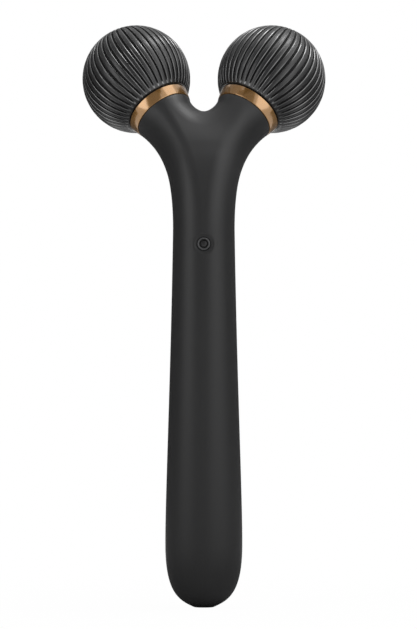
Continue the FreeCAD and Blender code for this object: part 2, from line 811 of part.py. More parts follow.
def ribbed_balls():
    """The right ball, and the left one as its mirror image, with their bores."""
    form = ribbed_form()
    for name, side in SIDES:
        bores = turned(name + "_ball_bores", [
            (ZERO, -size.ball_radius), (bush_bore(), -size.ball_radius), (bush_bore(), size.bush_end),
            (size.clip_room, size.bush_end), (size.clip_room, size.cap_seat),
            (size.cap_radius + size.press_gap, size.cap_seat),
            (size.cap_radius + size.press_gap, size.ball_radius), (ZERO, size.ball_radius),
        ], upright())
        shape = form if side > 0 else form.mirror(Vector(0, 0, 0), Vector(1, 0, 0))
        ball = keep(name + "_ball", cut(name + "_ball_cut", shaped(name + "_ribs", shape), [bores]))
        ball.Placement = arm_place(side)


def bush_bore():
    return size.bush_radius + size.press_gap


def ball_unit(name, side):
    place = arm_place(side)
    inner = -size.ball_face
    room = size.clip_room
    bore = size.axle_radius + size.running_gap
    keep(name + "_bush", turned(name + "_bush_body", [
        (bore, inner - size.bush_stand), (size.bush_radius, inner - size.bush_stand),
        (size.bush_radius, size.bush_end), (bore, size.bush_end),
    ], place))
    plug = room - size.press_gap
    keep(name + "_cap", turned(name + "_cap_body", [
        (ZERO, size.cap_seat - size.cap_plug), (plug, size.cap_seat - size.cap_plug), (plug, size.cap_seat),
        (size.cap_radius, size.cap_seat), (None, cap_height()), (ZERO, None),
    ], place, size.ball_radius))


def cap_height():
    """Height where the cap's rim meets the ball's surface."""
    rim = math.sqrt(size.ball_radius.value ** 2 - size.cap_radius.value ** 2)
    return Size(rim, f"sqrt({size.ball_radius.text} ^ 2 - {size.cap_radius.text} ^ 2)")


def axle_unit(name, side):
    place = arm_place(side)
    radius = size.axle_radius
    slim = radius - size.axle_chamfer
    groove_in = size.bush_end + size.running_gap
    groove_out = groove_in + size.clip_thickness + size.running_gap
    keep(name + "_axle", turned(name + "_axle_body", [
        (ZERO, -size.axle_root), (slim, -size.axle_root), (radius, size.axle_chamfer - size.axle_root),
        (radius, groove_in), (size.clip_groove_radius, groove_in), (size.clip_groove_radius, groove_out),
        (radius, groove_out), (radius, size.axle_end - size.axle_chamfer), (slim, size.axle_end),
        (ZERO, size.axle_end),
    ], place))
    ring = turned(name + "_clip_ring", [
        (size.clip_groove_radius + size.press_gap, groove_in + size.running_gap / 2),
        (size.clip_radius, groove_in + size.running_gap / 2),
        (size.clip_radius, groove_in + size.running_gap / 2 + size.clip_thickness),
        (size.clip_groove_radius + size.press_gap, groove_in + size.running_gap / 2 + size.clip_thickness),
    ], place)
    mouth = doc.addObject("Part::Box", name + "_clip_mouth")
    bind(mouth, Length=size.clip_radius * 2, Width=size.clip_mouth, Height=size.clip_thickness * 3)
    corner = Vector(0, -size.clip_mouth.value / 2, (groove_in - size.clip_thickness).value)
    mouth.Placement = place.multiply(FreeCAD.Placement(corner, FreeCAD.Rotation()))
    keep(name + "_clip", cut(name + "_clip_cut", ring, [mouth]))
    bore = radius + size.running_gap
    top = -(size.ball_face + size.bush_stand + size.running_gap)
    keep(name + "_washer", turned(name + "_washer_body", [
        (bore, top - size.washer_thickness), (size.bush_radius, top - size.washer_thickness),
        (size.bush_radius, top), (bore, top),
    ], place))


def yoke_face():
    """From a ball's centre back to the yoke's end face."""
    return size.ball_face + size.bush_stand + size.running_gap + size.washer_thickness


def axle_yoke():
    arms = []
    drills = []
    outer = size.arm_bore - size.loose_gap
    for name, side in SIDES:
        arms.append(arm_rod(name + "_yoke_arm", outer, -size.arm_length, -yoke_face(), side))
        drills.append(arm_rod(name + "_axle_hole", size.axle_radius + size.press_gap,
                              -size.axle_root, ZERO, side))
    ball = doc.addObject("Part::Sphere", "yoke_crossing")
    bind(ball, Radius=outer)
    ball.Placement.Base = CROSSING
    stem = doc.addObject("Part::Cylinder", "yoke_stem")
    bind(stem, Radius=outer, Height=size.yoke_stem)
    stem.Placement = stem_place()
    keep("axle_yoke", cut("axle_yoke_cut", joined("axle_yoke_body", arms + [ball, stem]), drills))


def collar(name, side):
    low = -(size.shoulder_back - size.collar_gap)
    high = low + size.collar_height
    narrow = size.arm_radius + size.collar_proud
    wide = narrow + size.collar_flare
    soft = size.collar_round
    inside = size.spigot_radius + size.running_gap
    keep(name + "_collar", turned(name + "_collar_body", [
        (inside, low), (narrow - soft, low), (narrow, low + soft), (wide, high - soft), (wide - soft, high),
        (size.arm_bore + size.loose_gap, high), (size.arm_bore + size.loose_gap, high - size.collar_lip),
        (inside, high - size.collar_lip),
    ], arm_place(side)))


# Handle insides

def charging_jack():
    seat = size.tip_wall + size.gasket_thickness
    shelf = seat + size.jack_flange_thickness
    keep("charge_socket", turned("charge_socket_body", [
        (size.jack_bore, ZERO), (size.jack_radius, ZERO), (size.jack_radius, seat), (size.jack_flange, seat),
        (size.jack_flange, shelf), (size.jack_body, shelf), (size.jack_body, size.jack_length),
        (ZERO, size.jack_length), (ZERO, size.jack_depth), (size.jack_bore, size.jack_depth),
    ], upright()))
    keep("socket_gasket", turned("socket_gasket_body", [
        (size.jack_radius + size.running_gap, size.tip_wall), (size.jack_flange, size.tip_wall),
        (size.jack_flange, seat), (size.jack_radius + size.running_gap, seat),
    ], upright()))


def battery():
    base = cell_base()
    top = base + cell_length()
    slim = size.cell_radius - size.cell_round
    keep("battery_cell", turned("battery_cell_body", [
        (ZERO, base), (slim, base), (size.cell_radius, base + size.cell_round),
        (size.cell_radius, top - size.cell_round), (slim, top), (size.cell_nub_radius, top),
        (size.cell_nub_radius, top + size.cell_nub_height), (ZERO, top + size.cell_nub_height),
    ], upright()))
    keep("battery_pad", turned("battery_pad_body", [
        (ZERO, cradle_base()), (size.cell_radius, cradle_base()), (size.cell_radius, base), (ZERO, base),
    ], upright()))


def chassis():
    inner = size.cell_radius + size.loose_gap
    outer = inner + size.cradle_wall
    floor_low = cradle_base() - size.chassis_floor
    hold_low = size.jack_length - size.socket_hold
    top_floor = chassis_top_floor()
    bottom_of_top = top_floor - size.chassis_floor
    tray = turned("chassis_tray", [
        (size.jack_body + size.loose_gap, hold_low), (outer, hold_low), (outer, bottom_of_top),
        (inner, bottom_of_top), (inner, cradle_base()), (ZERO, cradle_base()), (ZERO, floor_low),
        (size.jack_body + size.loose_gap, floor_low),
    ], upright())
    front = size.cradle_opening
    opening = block("cradle_opening_cut", (-outer, -outer * 2, cradle_base()),
                    (outer * 2, outer * 2 - front, top_floor - cradle_base()))
    lid_disc = rod("chassis_top_disc", outer, size.chassis_floor, (ZERO, ZERO, bottom_of_top))
    half = size.board_width / 2
    back = board_back()
    wall = block("chassis_spine", (-half, -back, bottom_of_top),
                 (size.board_width, size.spine_thickness, board_base() + size.board_length - bottom_of_top))
    sleeve = size.motor_radius + size.sleeve_wall
    ribs = []
    rib_half = sleeve + size.saddle_wall
    spine_back = -(back - size.spine_thickness)
    for spot, rise in enumerate(saddle_heights()):
        ribs.append(block(f"motor_rib_{spot}", (-rib_half, spine_back, rise),
                          (rib_half * 2, motor_back() - spine_back, size.saddle_width)))
    body = joined("chassis_body", [cut("chassis_open", tray, [opening]), lid_disc, wall] + ribs)
    tools = [rod("motor_room", sleeve + size.loose_gap, size.motor_length * 2,
                 (ZERO, motor_back(), motor_base() - size.motor_length / 2))]
    notch = size.lead_spread + size.lead_radius + size.loose_gap
    tools.append(block("lead_notch", (-notch, -outer * 2, bottom_of_top - size.loose_gap),
                       (notch * 2, outer * 2 - back, size.chassis_floor * 2)))
    for spot, height in enumerate(screw_heights()):
        tools.append(rod(f"chassis_drill_{spot}", size.screw_radius + size.loose_gap, size.board_width,
                         (ZERO, -size.board_width / 2, height), BACKWARD))
    window = size.motor_lead_spread + size.lead_radius + size.loose_gap
    tools.append(block("lead_window", (-window, -size.board_width, motor_lead_height() - window / 2),
                       (window * 2, size.board_width + motor_back() - sleeve, window)))
    keep("chassis", cut("chassis_cut", body, tools))


def saddle_heights():
    low = motor_base() + (size.motor_length - size.sleeve_length) / 2
    return low, low + size.sleeve_length - size.saddle_width


def board():
    half = size.board_width / 2
    plate = block("board_plate", (-half, -size.board_front, board_base()),
                  (size.board_width, size.board_thickness, size.board_length))
    drills = []
    for spot, height in enumerate(screw_heights()):
        drills.append(rod(f"board_drill_{spot}", size.screw_radius + size.loose_gap, size.board_width,
                          (ZERO, -size.board_width / 2, height), BACKWARD))
    keep("main_board", cut("main_board_cut", plate, drills))
    chips = []
    front = -(size.board_front + size.chip_height)
    middle = board_base() + size.board_length / 2
    for name, x, rise, wide, tall in CHIPS:
        chips.append(block(name, (x, front, middle + rise), (wide, size.chip_height, tall)))
    keep("board_chips", gathered("board_chips_group", chips))
    body = block("switch_body", (-size.switch_side / 2, -(size.board_front + size.switch_height),
                                 button_height() - size.switch_side / 2),
                 (size.switch_side, size.switch_height, size.switch_side))
    plunger = rod("switch_plunger", size.switch_plunger, size.switch_plunger_height + size.switch_height / 2,
                  (ZERO, -(size.board_front + size.switch_height + size.switch_plunger_height),
                   button_height()), BACKWARD)
    keep("tact_switch", joined("tact_switch_body", [body, plunger]))


def gathered(name, parts):
    """Separate solids in one node."""
    feature = doc.addObject("Part::Compound", name)
    feature.Links = parts
    return feature


def screws():
    parts = []
    for spot, height in enumerate(screw_heights()):
        front = -(size.board_front + size.screw_head_height)
        length = size.screw_head_height + size.board_thickness + size.spine_thickness + size.screw_bite
        shank = rod(f"screw_shank_{spot}", size.screw_radius, length, (ZERO, front, height), BACKWARD)
        head = rod(f"screw_head_{spot}", size.screw_head_radius, size.screw_head_height,
                   (ZERO, front, height), BACKWARD)
        parts.append(joined(f"screw_{spot}", [shank, head]))
    keep("board_screws", gathered("board_screws_group", parts))


def button():
    """Button and gasket, turned about the button's axis with local Z out of the handle."""
    place = FreeCAD.Placement(Vector(0, 0, button_height().value), FreeCAD.Rotation(Vector(1, 0, 0), 90))
    face = button_face()
    seat = face - size.seal_seat
    under = seat - size.seal_thickness - size.running_gap
    flange_back = under - size.button_flange_thickness
    plunger_top = size.board_front + size.switch_height + size.switch_plunger_height
    stem_end = plunger_top + size.button_travel + size.running_gap
    rim_soft = size.button_rim / 2
    inner_rim = size.button_radius - size.button_rim_width
    rim_top = face + size.button_rim - size.button_hollow_depth
    keep("power_button", turned("power_button_body", [
        (ZERO, stem_end), (size.button_stem, stem_end), (size.button_stem, flange_back),
        (size.button_flange, flange_back), (size.button_flange, under), (size.button_radius, under),
        (size.button_radius, rim_top - rim_soft), (size.button_radius - rim_soft, rim_top),
        (inner_rim + size.button_rim / 3, rim_top), (inner_rim, face - size.button_dish),
        (ZERO, face - size.button_dish - rim_soft),
    ], place))
    keep("button_gasket", turned("button_gasket_body", [
        (size.button_radius + size.running_gap, seat - size.seal_thickness),
        (size.seal_radius, seat - size.seal_thickness), (size.seal_radius, seat),
        (size.button_radius + size.running_gap, seat),
    ], place))


def motor():
    base = motor_base()
    top = base + size.motor_length
    place_values = (ZERO, motor_back(), ZERO)
    bore = size.shaft_radius + size.running_gap

    def stand(label, outline):
        body = turned(label + "_body", outline, upright())
        move(body, *place_values)
        keep(label, body)

    stand("motor_can", [
        (ZERO, base), (size.motor_radius, base), (size.motor_radius, top), (bore, top),
        (bore, top - size.shaft_in - size.running_gap), (ZERO, top - size.shaft_in - size.running_gap),
    ])
    low = saddle_heights()[0]
    inner = size.motor_radius + size.press_gap
    outer = size.motor_radius + size.sleeve_wall
    stand("motor_sleeve", [
        (inner, low), (outer, low), (outer, low + size.sleeve_length), (inner, low + size.sleeve_length),
    ])
    stand("motor_shaft", [
        (ZERO, top - size.shaft_in), (size.shaft_radius, top - size.shaft_in),
        (size.shaft_radius, top + size.shaft_out), (ZERO, top + size.shaft_out),
    ])
    foot = top + size.weight_gap
    crown = foot + size.weight_length

    def ring(label, radius):
        body = turned(label, [
            (size.shaft_radius + size.press_gap, foot), (radius, foot), (radius, crown),
            (size.shaft_radius + size.press_gap, crown),
        ], upright())
        move(body, *place_values)
        return body

    disc = ring("weight_disc", size.weight_radius)
    hub = ring("weight_hub_ring", size.weight_hub)
    far_half = block("weight_half", (-size.weight_radius * 2, motor_back(), top),
                     (size.weight_radius * 4, size.weight_radius * 2, size.weight_length * 2))
    keep("eccentric_weight", joined("eccentric_weight_body", [shared("weight_segment", disc, far_half), hub]))


def motor_lead_height():
    return motor_base() - size.lead_radius - size.running_gap


def leads():
    parts = []
    top = cell_base() + cell_length()
    for spot, side in enumerate((-1, 1)):
        parts.append(rod(f"cell_lead_{spot}", size.lead_radius, size.lead_length,
                         (size.lead_spread * side,
                          -(size.board_front + size.lead_radius + size.running_gap), top)))
    keep("battery_leads", gathered("battery_leads_group", parts))
    wires = []
    for spot, side in enumerate((-1, 1)):
        wires.append(rod(f"motor_lead_{spot}", size.lead_radius, motor_back() + board_back(),
                         (size.motor_lead_spread * side, -board_back(), motor_lead_height()), BACKWARD))
    keep("motor_leads", gathered("motor_leads_group", wires))


housing()
axle_yoke()
ribbed_balls()
for side_name, side_sign in SIDES:
    collar(side_name, side_sign)
    axle_unit(side_name, side_sign)
    ball_unit(side_name, side_sign)
charging_jack()
battery()
chassis()
board()
screws()
button()
motor()
leads()
doc.recompute()

# Every object has to be sound before anything is written
for item in doc.Objects:
    if "Invalid" in item.State or "Error" in item.State:
        raise RuntimeError(f"{item.Label} failed: {item.State}")
os.makedirs("parts", exist_ok=True)
for node, feature in nodes.items():
    shape = feature.Shape
    if shape.isNull() or not shape.isValid() or not shape.Solids:
        raise RuntimeError(f"{node} has no sound solid")
    print(node, len(shape.Solids), "solids", round(shape.Volume, 2), "mm3")
for node, feature in nodes.items():
    feature.Shape.exportStep(f"parts/{node}.step")
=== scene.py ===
import json
import math

import bmesh
import bpy
import numpy as np
from mathutils import Matrix, Vector


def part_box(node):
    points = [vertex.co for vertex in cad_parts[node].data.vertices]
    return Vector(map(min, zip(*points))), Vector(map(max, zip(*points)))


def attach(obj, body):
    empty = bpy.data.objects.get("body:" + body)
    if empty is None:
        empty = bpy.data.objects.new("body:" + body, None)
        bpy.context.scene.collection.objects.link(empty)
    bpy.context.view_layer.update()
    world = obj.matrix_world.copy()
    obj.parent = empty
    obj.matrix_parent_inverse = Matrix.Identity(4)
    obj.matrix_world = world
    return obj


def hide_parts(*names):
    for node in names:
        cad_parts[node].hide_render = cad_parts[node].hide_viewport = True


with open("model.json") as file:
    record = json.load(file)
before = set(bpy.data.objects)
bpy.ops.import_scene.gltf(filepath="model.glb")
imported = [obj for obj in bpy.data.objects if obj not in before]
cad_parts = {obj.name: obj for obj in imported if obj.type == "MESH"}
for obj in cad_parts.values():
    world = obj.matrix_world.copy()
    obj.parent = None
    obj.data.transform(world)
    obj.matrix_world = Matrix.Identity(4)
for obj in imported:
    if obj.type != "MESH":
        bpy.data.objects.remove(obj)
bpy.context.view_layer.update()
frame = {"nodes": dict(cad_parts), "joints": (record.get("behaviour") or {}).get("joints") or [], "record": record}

bl_info = {
    "name": "Facial Roller",
    "version": (1, 0, 0),
    "blender": (4, 5, 0),
    "location": "3D View > Sidebar > Roller",
    "description": "Dresses the packed facial roller with its skins, ribbed balls, collars and finishes",
    "category": "Object",
}

MM = 0.001
WELD = 2e-7
FIT = 0.01 * MM
BUTTON_BLEND = 0.06 * MM
SIDES = (("left", -1), ("right", 1))
JOINTS = {joint["name"]: joint for joint in frame["joints"]}
IMAGE_HEIGHT = 629


# Ways of stating a setting

def length(name, description, millimetres):
    """A length, given in millimetres and kept in metres."""
    return bpy.props.FloatProperty(name=name, description=description, default=millimetres * MM,
                                   precision=5, unit="LENGTH")


def angle(name, description, degrees):
    """An angle, given in degrees and kept in radians."""
    return bpy.props.FloatProperty(name=name, description=description, default=math.radians(degrees),
                                   subtype="ANGLE")


def number(name, description, value):
    return bpy.props.FloatProperty(name=name, description=description, default=value, precision=4)


def share(name, description, value):
    return bpy.props.FloatProperty(name=name, description=description, default=value, min=0, max=1,
                                   subtype="FACTOR")


def count(name, description, value):
    return bpy.props.IntProperty(name=name, description=description, default=value, min=1)


def colour(name, description, red, green, blue):
    return bpy.props.FloatVectorProperty(name=name, description=description, default=(red, green, blue),
                                         min=0, max=1, size=3, subtype="COLOR")


class HousingForm(bpy.types.PropertyGroup):
    """Sizes of the handle and its Y head"""
    tip_flat: length("Tip flat", "Radius of the flat round the port", 2.3)
    tip_out: length("Tip curve radius", "Radius that the tip's curve is drawn towards", 6.27)
    tip_up: length("Tip curve height", "Height at which it is drawn there", 1.79)
    tip_rise: length("Tip end height", "Height at which the tip turns into the grip", 3.58)
    grip_radius: length("Grip radius", "Half depth of the handle at its widest", 10.15)
    grip_height: length("Grip height", "Height of the widest section", 17.2)
    grip_hold: length("Grip hold", "How far the grip stays full above it", 14.0)
    neck_radius: length("Neck radius", "Half depth of the neck", 8.05)
    neck_height: length("Neck height", "Height at which the head starts to lean", 102.8)
    neck_hold: length("Neck hold", "How far below the neck its taper is drawn out", 40.0)
    neck_taper: length("Neck taper", "Radius added over that length", 0.6)
    crown_flat: length("Crown flat", "Width of the flat line down the front and back", 0.7)
    wall: length("Wall", "Wall of the shells", 1.8)
    port_hole: length("Port hole", "Radius of the hole for the port", 2.2)
    port_depth: length("Port hole depth", "Depth of that hole", 2.6)
    bend_radius: length("Bend radius", "Radius of the bend of the neck", 32.0)
    arm_length: length("Arm length", "From the crossing of the arm axes to a ball's centre", 35.3)
    arm_radius: length("Arm radius", "Radius of the arm's shoulder", 8.42)
    shoulder_back: length("Shoulder", "From a ball's centre back to the shoulder", 14.85)
    flare_angle: angle("Flare", "Outward flare of the arm at the shoulder", 18.0)
    flare_length: length("Flare length", "Length over which it flares", 9.0)
    arm_lead: length("Arm lead", "Length over which the outside leaves the neck", 14.0)
    crest_lead: length("Crest lead", "Length over which the crest leaves the neck", 12.0)
    crest_tail: length("Crest tail", "Length over which the crest joins the arm", 12.0)
    fork_reach: length("Fork line", "From the crossing up to the saddle's crest line", 8.8)
    fork_depth: length("Fork depth", "From that line up to the bottom of the fork", 8.75)
    fork_width: length("Fork width", "Half width of the level part of that line", 5.0)
    fork_steep: angle("Fork steepness", "Angle at which that line meets the arm", 45.0)
    fork_round: share("Fork roundness", "Pull of the handles of the fork's edge line", 0.4)
    valley_depth: length("Valley depth", "Depth of the soft valley between the arms", 1.1)
    valley_width: length("Valley width", "Half width of that valley", 11.0)
    valley_middle: length("Valley middle", "From the crossing of the arm axes up to its middle", 16.5)
    valley_length: length("Valley length", "Half length of that valley", 14.0)
    valley_fade: length("Valley fade", "Run below the shoulders in which it fades out", 3.0)
    spigot_radius: length("Spigot radius", "Radius of the spigot inside the collar", 7.2)
    spigot_length: length("Spigot length", "Length of the spigot", 2.0)
    seam_depth: length("Seam depth", "Depth of the parting line between the shells", 0.22)
    edge_round: length("Edge rounding", "Rounding of the shoulder's rim", 0.18)


class BallForm(bpy.types.PropertyGroup):
    """Sizes of the ribbed balls and their end caps"""
    radius: length("Radius", "Radius of the balls", 15.0)
    face: length("Inner face", "From a ball's centre to its flat inner face", 11.5)
    ribs: count("Ribs", "Ribs round a ball", 45)
    groove_share: number("Groove share", "Share of a rib's pitch that its groove takes", 0.28)
    groove_depth: length("Groove depth", "Depth of the grooves", 0.52)
    groove_end: angle("Groove end", "Latitude where the grooves run out", 61.0)
    groove_run: angle("Groove run-out", "Angle over which a groove runs out at the cap", 5.0)
    lip: angle("Lip", "Angle of the smooth lip at the inner face", 0.8)
    lip_run: angle("Lip run-out", "Angle over which a groove runs out at the lip", 7.5)
    lip_share: number("Lip share", "Share of the groove's depth by which the lip lies below the ribs", 0.05)
    rib_square: number("Rib squareness", "How square the ribs' section is, 2 for round", 4.0)
    swirl_square: number("Swirl", "Bend of the ribs per latitude squared", 0.1575)
    swirl_cube: number("Swirl growth", "Growth of that bend per latitude cubed", 0.108)
    bore: length("Bore", "Radius of the bore for the bush", 3.61)
    room: length("Clip room", "Radius of the room for the clip", 4.4)
    bush_end: length("Bush end", "From the ball's centre to the bush's outer end", 4.2)
    cap_radius: length("Cap radius", "Radius of the end cap", 7.0)
    cap_seat: length("Cap seat", "From the ball's centre to the seat of the cap", 11.6)
    cap_plug: length("Cap plug", "Length of the cap's plug", 2.0)
    cap_round: length("Cap rounding", "Rounding of the cap's rim", 0.22)


class CollarForm(bpy.types.PropertyGroup):
    """Sizes of the plated collars"""
    height: length("Height", "Height of the collar", 2.8)
    flare: length("Flare", "Growth of the collar's radius over its height", 0.8)
    proud: length("Stand-out", "How far the collar stands out from the shoulder", 0.1)
    lip: length("Lip", "Thickness of the inner lip", 0.7)
    lip_radius: length("Lip radius", "Radius of the opening of the lip", 5.4)
    gap: length("Shadow gap", "Gap between shoulder and collar", 0.2)
    bore: length("Bore", "Radius of the collar's bore", 7.25)
    rounding: length("Rounding", "Rounding of the outer edges", 0.16)


class ButtonForm(bpy.types.PropertyGroup):
    """Sizes of the push button and its seat"""
    height: length("Height", "Height of the button on the handle", 98.7)
    radius: length("Radius", "Radius of the button", 1.72)
    gap: length("Gap", "Gap round the button", 0.2)
    rim: length("Rim", "Width of the raised rim", 0.47)
    groove: length("Groove", "Width of the dark groove inside the rim", 0.4)
    groove_depth: length("Groove depth", "Depth of that groove", 1.2)
    disc_drop: length("Disc drop", "How far the disc lies below the rim", 0.5)
    hollow: length("Hollow", "Radius of the soft hollow round the button", 3.0)
    hollow_depth: length("Hollow depth", "Depth of that hollow at the button", 0.36)
    patch: length("Patch", "Half width of the patch of skin round the button", 3.5)
    flange: length("Flange", "Radius of the flange inside the shell", 2.4)
    flange_drop: length("Flange drop", "From the top of the rim down to the flange", 2.6)
    flange_thick: length("Flange thickness", "Thickness of the flange", 0.55)
    stem: length("Stem", "Radius of the stem to the switch", 0.9)
    inner_round: length("Inner rounding", "Rounding of the edges of stem and flange", 0.1)
    rim_outside: length("Rim rounding outside", "Rounding of the rim's outer edge", 0.22)
    rim_inside: length("Rim rounding inside", "Rounding of the rim's inner edge", 0.2)
    disc_round: length("Disc rounding", "Rounding of the disc's edge", 0.12)
    disc_swell: length("Disc swell", "How far the disc swells up to its middle", 0.08)


class RollerFinishes(bpy.types.PropertyGroup):
    """Colours of the finishes"""
    soft_black: colour("Soft black", "Soft-touch coat of the handle", 0.0235, 0.0235, 0.0240)
    rib_black: colour("Rib black", "Satin plastic of the balls", 0.016, 0.016, 0.0166)
    rose_gold: colour("Rose gold", "Plating of the collars", 0.35, 0.175, 0.045)
    button_grey: colour("Button grey", "Plastic of the button", 0.024, 0.024, 0.025)
    floor_white: colour("Floor", "Floor of the stage", 0.93, 0.93, 0.93)


class StageForm(bpy.types.PropertyGroup):
    """Camera and light of the stage"""
    camera_away: length("Camera distance", "From the handle's axis to the camera", 900.0)
    camera_height: length("Camera height", "Height of the camera above the tip", 79.6)
    camera_aside: length("Camera offset", "How far the camera stands to the right", 1.27)
    pixel: length("Pixel", "Size of a pixel of the image at the handle", 0.2722)
    sensor: length("Sensor", "Height of the camera's sensor", 24.0)
    left_strip: number("Left strip", "Power of the left strip light, watts", 0.18)
    right_strip: number("Right strip", "Power of the right strip light, watts", 0.18)
    left_wing: number("Left wing", "Power of the small lamp at the upper left, watts", 0.10)
    right_wing: number("Right wing", "Power of the lamp at the upper right, watts", 0.27)
    top_box: number("Top box", "Power of the box above, watts", 0.27)
    crown_lamp: number("Crown lamp", "Power of the lamp above the balls, watts", 0.85)
    room_light: number("Room light", "Strength of the soft light from the room", 0.31)
    shadow_reach: length("Shadow reach", "Radius within which the floor shows the shadow", 150.0)
    shadow_share: number("Shadow share", "Share of the floor's own shade at the tip", 0.02)


GROUPS = {
    "roller_housing": HousingForm,
    "roller_balls": BallForm,
    "roller_collars": CollarForm,
    "roller_button": ButtonForm,
    "roller_finishes": RollerFinishes,
    "roller_stage": StageForm,
}


# Shader maths as expressions

GRAIN_DEPTH = 0.004 * MM
SEEN_RAYS = ("Is Camera Ray", "Is Glossy Ray", "Is Transmission Ray")

# Shares of a groove's depth between which a rib's edge starts, ends and gives way to the groove, whose shade is
# painted dark into its colour
EDGE_START = (0.02, 0.10)
EDGE_END = (0.3, 0.5)
GROOVE_START = (0.2, 0.7)


class Flow:
    """A socket's value in a material; arithmetic on it adds the nodes that work it out."""

    def __init__(self, sheet, socket):
        self.sheet = sheet
        self.socket = socket

    def _math(self, operation, *values):
        return self.sheet.node("ShaderNodeMath", {"operation": operation}, dict(enumerate(values)))

    def __add__(self, other):
        return self._math("ADD", self, other)

    def __sub__(self, other):
        return self._math("SUBTRACT", self, other)

    def __rsub__(self, other):
        return self._math("SUBTRACT", other, self)

    def __mul__(self, other):
        return self._math("MULTIPLY", self, other)

    def __truediv__(self, other):
        return self._math("DIVIDE", self, other)

    __radd__ = __add__
    __rmul__ = __mul__

    def most(self, other):
        return self._math("MAXIMUM", self, other)

    def between(self, low, high):
        """0 below low, 1 above high, smooth between."""
        return self.sheet.node("ShaderNodeMapRange", {"interpolation_type": "SMOOTHSTEP"},
                               {"Value": self, "From Min": low, "From Max": high})


class FinishSheet:
    """Node tree of one finish."""

    def __init__(self, tree):
        self.tree = tree
        tree.nodes.clear()

    def node(self, kind, settings=None, inputs=None, output=0):
        """Any node: its settings first, then the values or links of its sockets."""
        made = self.tree.nodes.new(kind)
        for name, value in (settings or {}).items():
            setattr(made, name, value)
        for name, value in (inputs or {}).items():
            if isinstance(value, Flow):
                self.tree.links.new(value.socket, made.inputs[name])
            else:
                made.inputs[name].default_value = value
        return Flow(self, made.outputs[output]) if made.outputs else None

    def place(self):
        """Place on the piece, in metres."""
        return self.node("ShaderNodeTexCoord", output="Object")

    def stretched(self, shares):
        """That place scaled along each axis."""
        return self.node("ShaderNodeVectorMath", {"operation": "MULTIPLY"}, {0: self.place(), 1: shares})

    def reach(self, place):
        """Distance of a place from the origin."""
        return self.node("ShaderNodeVectorMath", {"operation": "LENGTH"}, {0: place}, "Value")

    def speckle(self, scale, detail=2.0, place=None):
        """Soft noise between 0 and 1."""
        return self.node("ShaderNodeTexNoise", {}, {"Vector": place or self.place(), "Scale": scale,
                                                    "Detail": detail})

    def seen(self):
        """1 for what the camera, reflections and glass show, 0 for what only lights the scene."""
        rays = [self.node("ShaderNodeLightPath", output=ray) for ray in SEEN_RAYS]
        return rays[0].most(rays[1]).most(rays[2])

    def blend(self, part, first, second):
        """Colour between two colours."""
        return self.node("ShaderNodeMix", {"data_type": "RGBA"}, {"Factor": part, 6: first, 7: second}, 2)

    def relief(self, height, depth):
        """Normal bent by a height between 0 and 1."""
        return self.node("ShaderNodeBump", {}, {"Height": height, "Distance": depth, "Strength": 1.0})

    def finish(self, **inputs):
        """Close the tree with the surface shader."""
        named = {name.replace("_", " "): value for name, value in inputs.items()}
        surface = self.node("ShaderNodeBsdfPrincipled", {}, named)
        self.node("ShaderNodeOutputMaterial", {}, {"Surface": surface})


def rgba(values, gain=1.0):
    """Colour of a socket, from a tone made lighter or darker."""
    return tuple(min(1.0, value * gain) for value in values) + (1.0,)


def new_finish(name):
    """A material and the sheet of its empty node tree."""
    material = bpy.data.materials.new(name)
    material.use_nodes = True
    return material, FinishSheet(material.node_tree)


def soft_touch(name, tone):
    """Soft-touch coat: even, faintly clouded, with a very fine grain."""
    material, sheet = new_finish(name)
    cloud = sheet.speckle(90.0)
    grain = sheet.speckle(5200.0, 1.0)
    sheet.finish(Base_Color=sheet.blend(cloud, rgba(tone, 0.92), rgba(tone, 1.08)),
                 Roughness=0.40 + 0.06 * cloud, Specular_IOR_Level=0.3,
                 Normal=sheet.relief(grain, GRAIN_DEPTH))
    return material


def ribbed_satin(name, tone, form):
    """Satin plastic whose grooves are darkened by painted shade, and whose ribs have smooth edges."""
    material, sheet = new_finish(name)
    place = sheet.place()
    fall = (form.radius - sheet.reach(place)) / form.groove_depth
    edge = fall.between(*EDGE_START) * (1.0 - fall.between(*EDGE_END))
    sunk = fall.between(*GROOVE_START)
    cloud = sheet.speckle(420.0, 3.0, place)
    grain = sheet.speckle(3800.0, 1.0, place)
    land = sheet.blend(cloud, rgba(tone, 0.85), rgba(tone, 1.2))
    # Down in the grooves the base colour falls to 5 % of the tone: painted shade.
    sheet.finish(Base_Color=sheet.blend(sunk, land, rgba(tone, 0.05)),
                 Roughness=0.37 - 0.15 * edge + 0.49 * sunk, Specular_IOR_Level=0.5,
                 Coat_Weight=edge, Coat_Roughness=0.14, Coat_IOR=1.9,
                 Normal=sheet.relief(grain, GRAIN_DEPTH))
    return material


def polished_plate(name, tone):
    """Polished plating under a clear lacquer."""
    material, sheet = new_finish(name)
    cloud = sheet.speckle(160.0)
    sheet.finish(Base_Color=sheet.blend(cloud, rgba(tone, 0.96), rgba(tone, 1.04)), Metallic=0.65,
                 Roughness=0.18 + 0.03 * cloud, Coat_Weight=1.0, Coat_IOR=1.7, Coat_Roughness=0.08)
    return material


def moulded(name, tone, roughness, grain=2600.0, depth=0.006 * MM, level=0.5):
    """Moulded plastic, rubber or lacquer with its fine grain."""
    material, sheet = new_finish(name)
    cloud = sheet.speckle(240.0)
    sheet.finish(Base_Color=sheet.blend(cloud, rgba(tone, 0.9), rgba(tone, 1.1)),
                 Roughness=roughness + 0.08 * (cloud - 0.5), Specular_IOR_Level=level,
                 Normal=sheet.relief(sheet.speckle(grain, 1.0), depth))
    return material


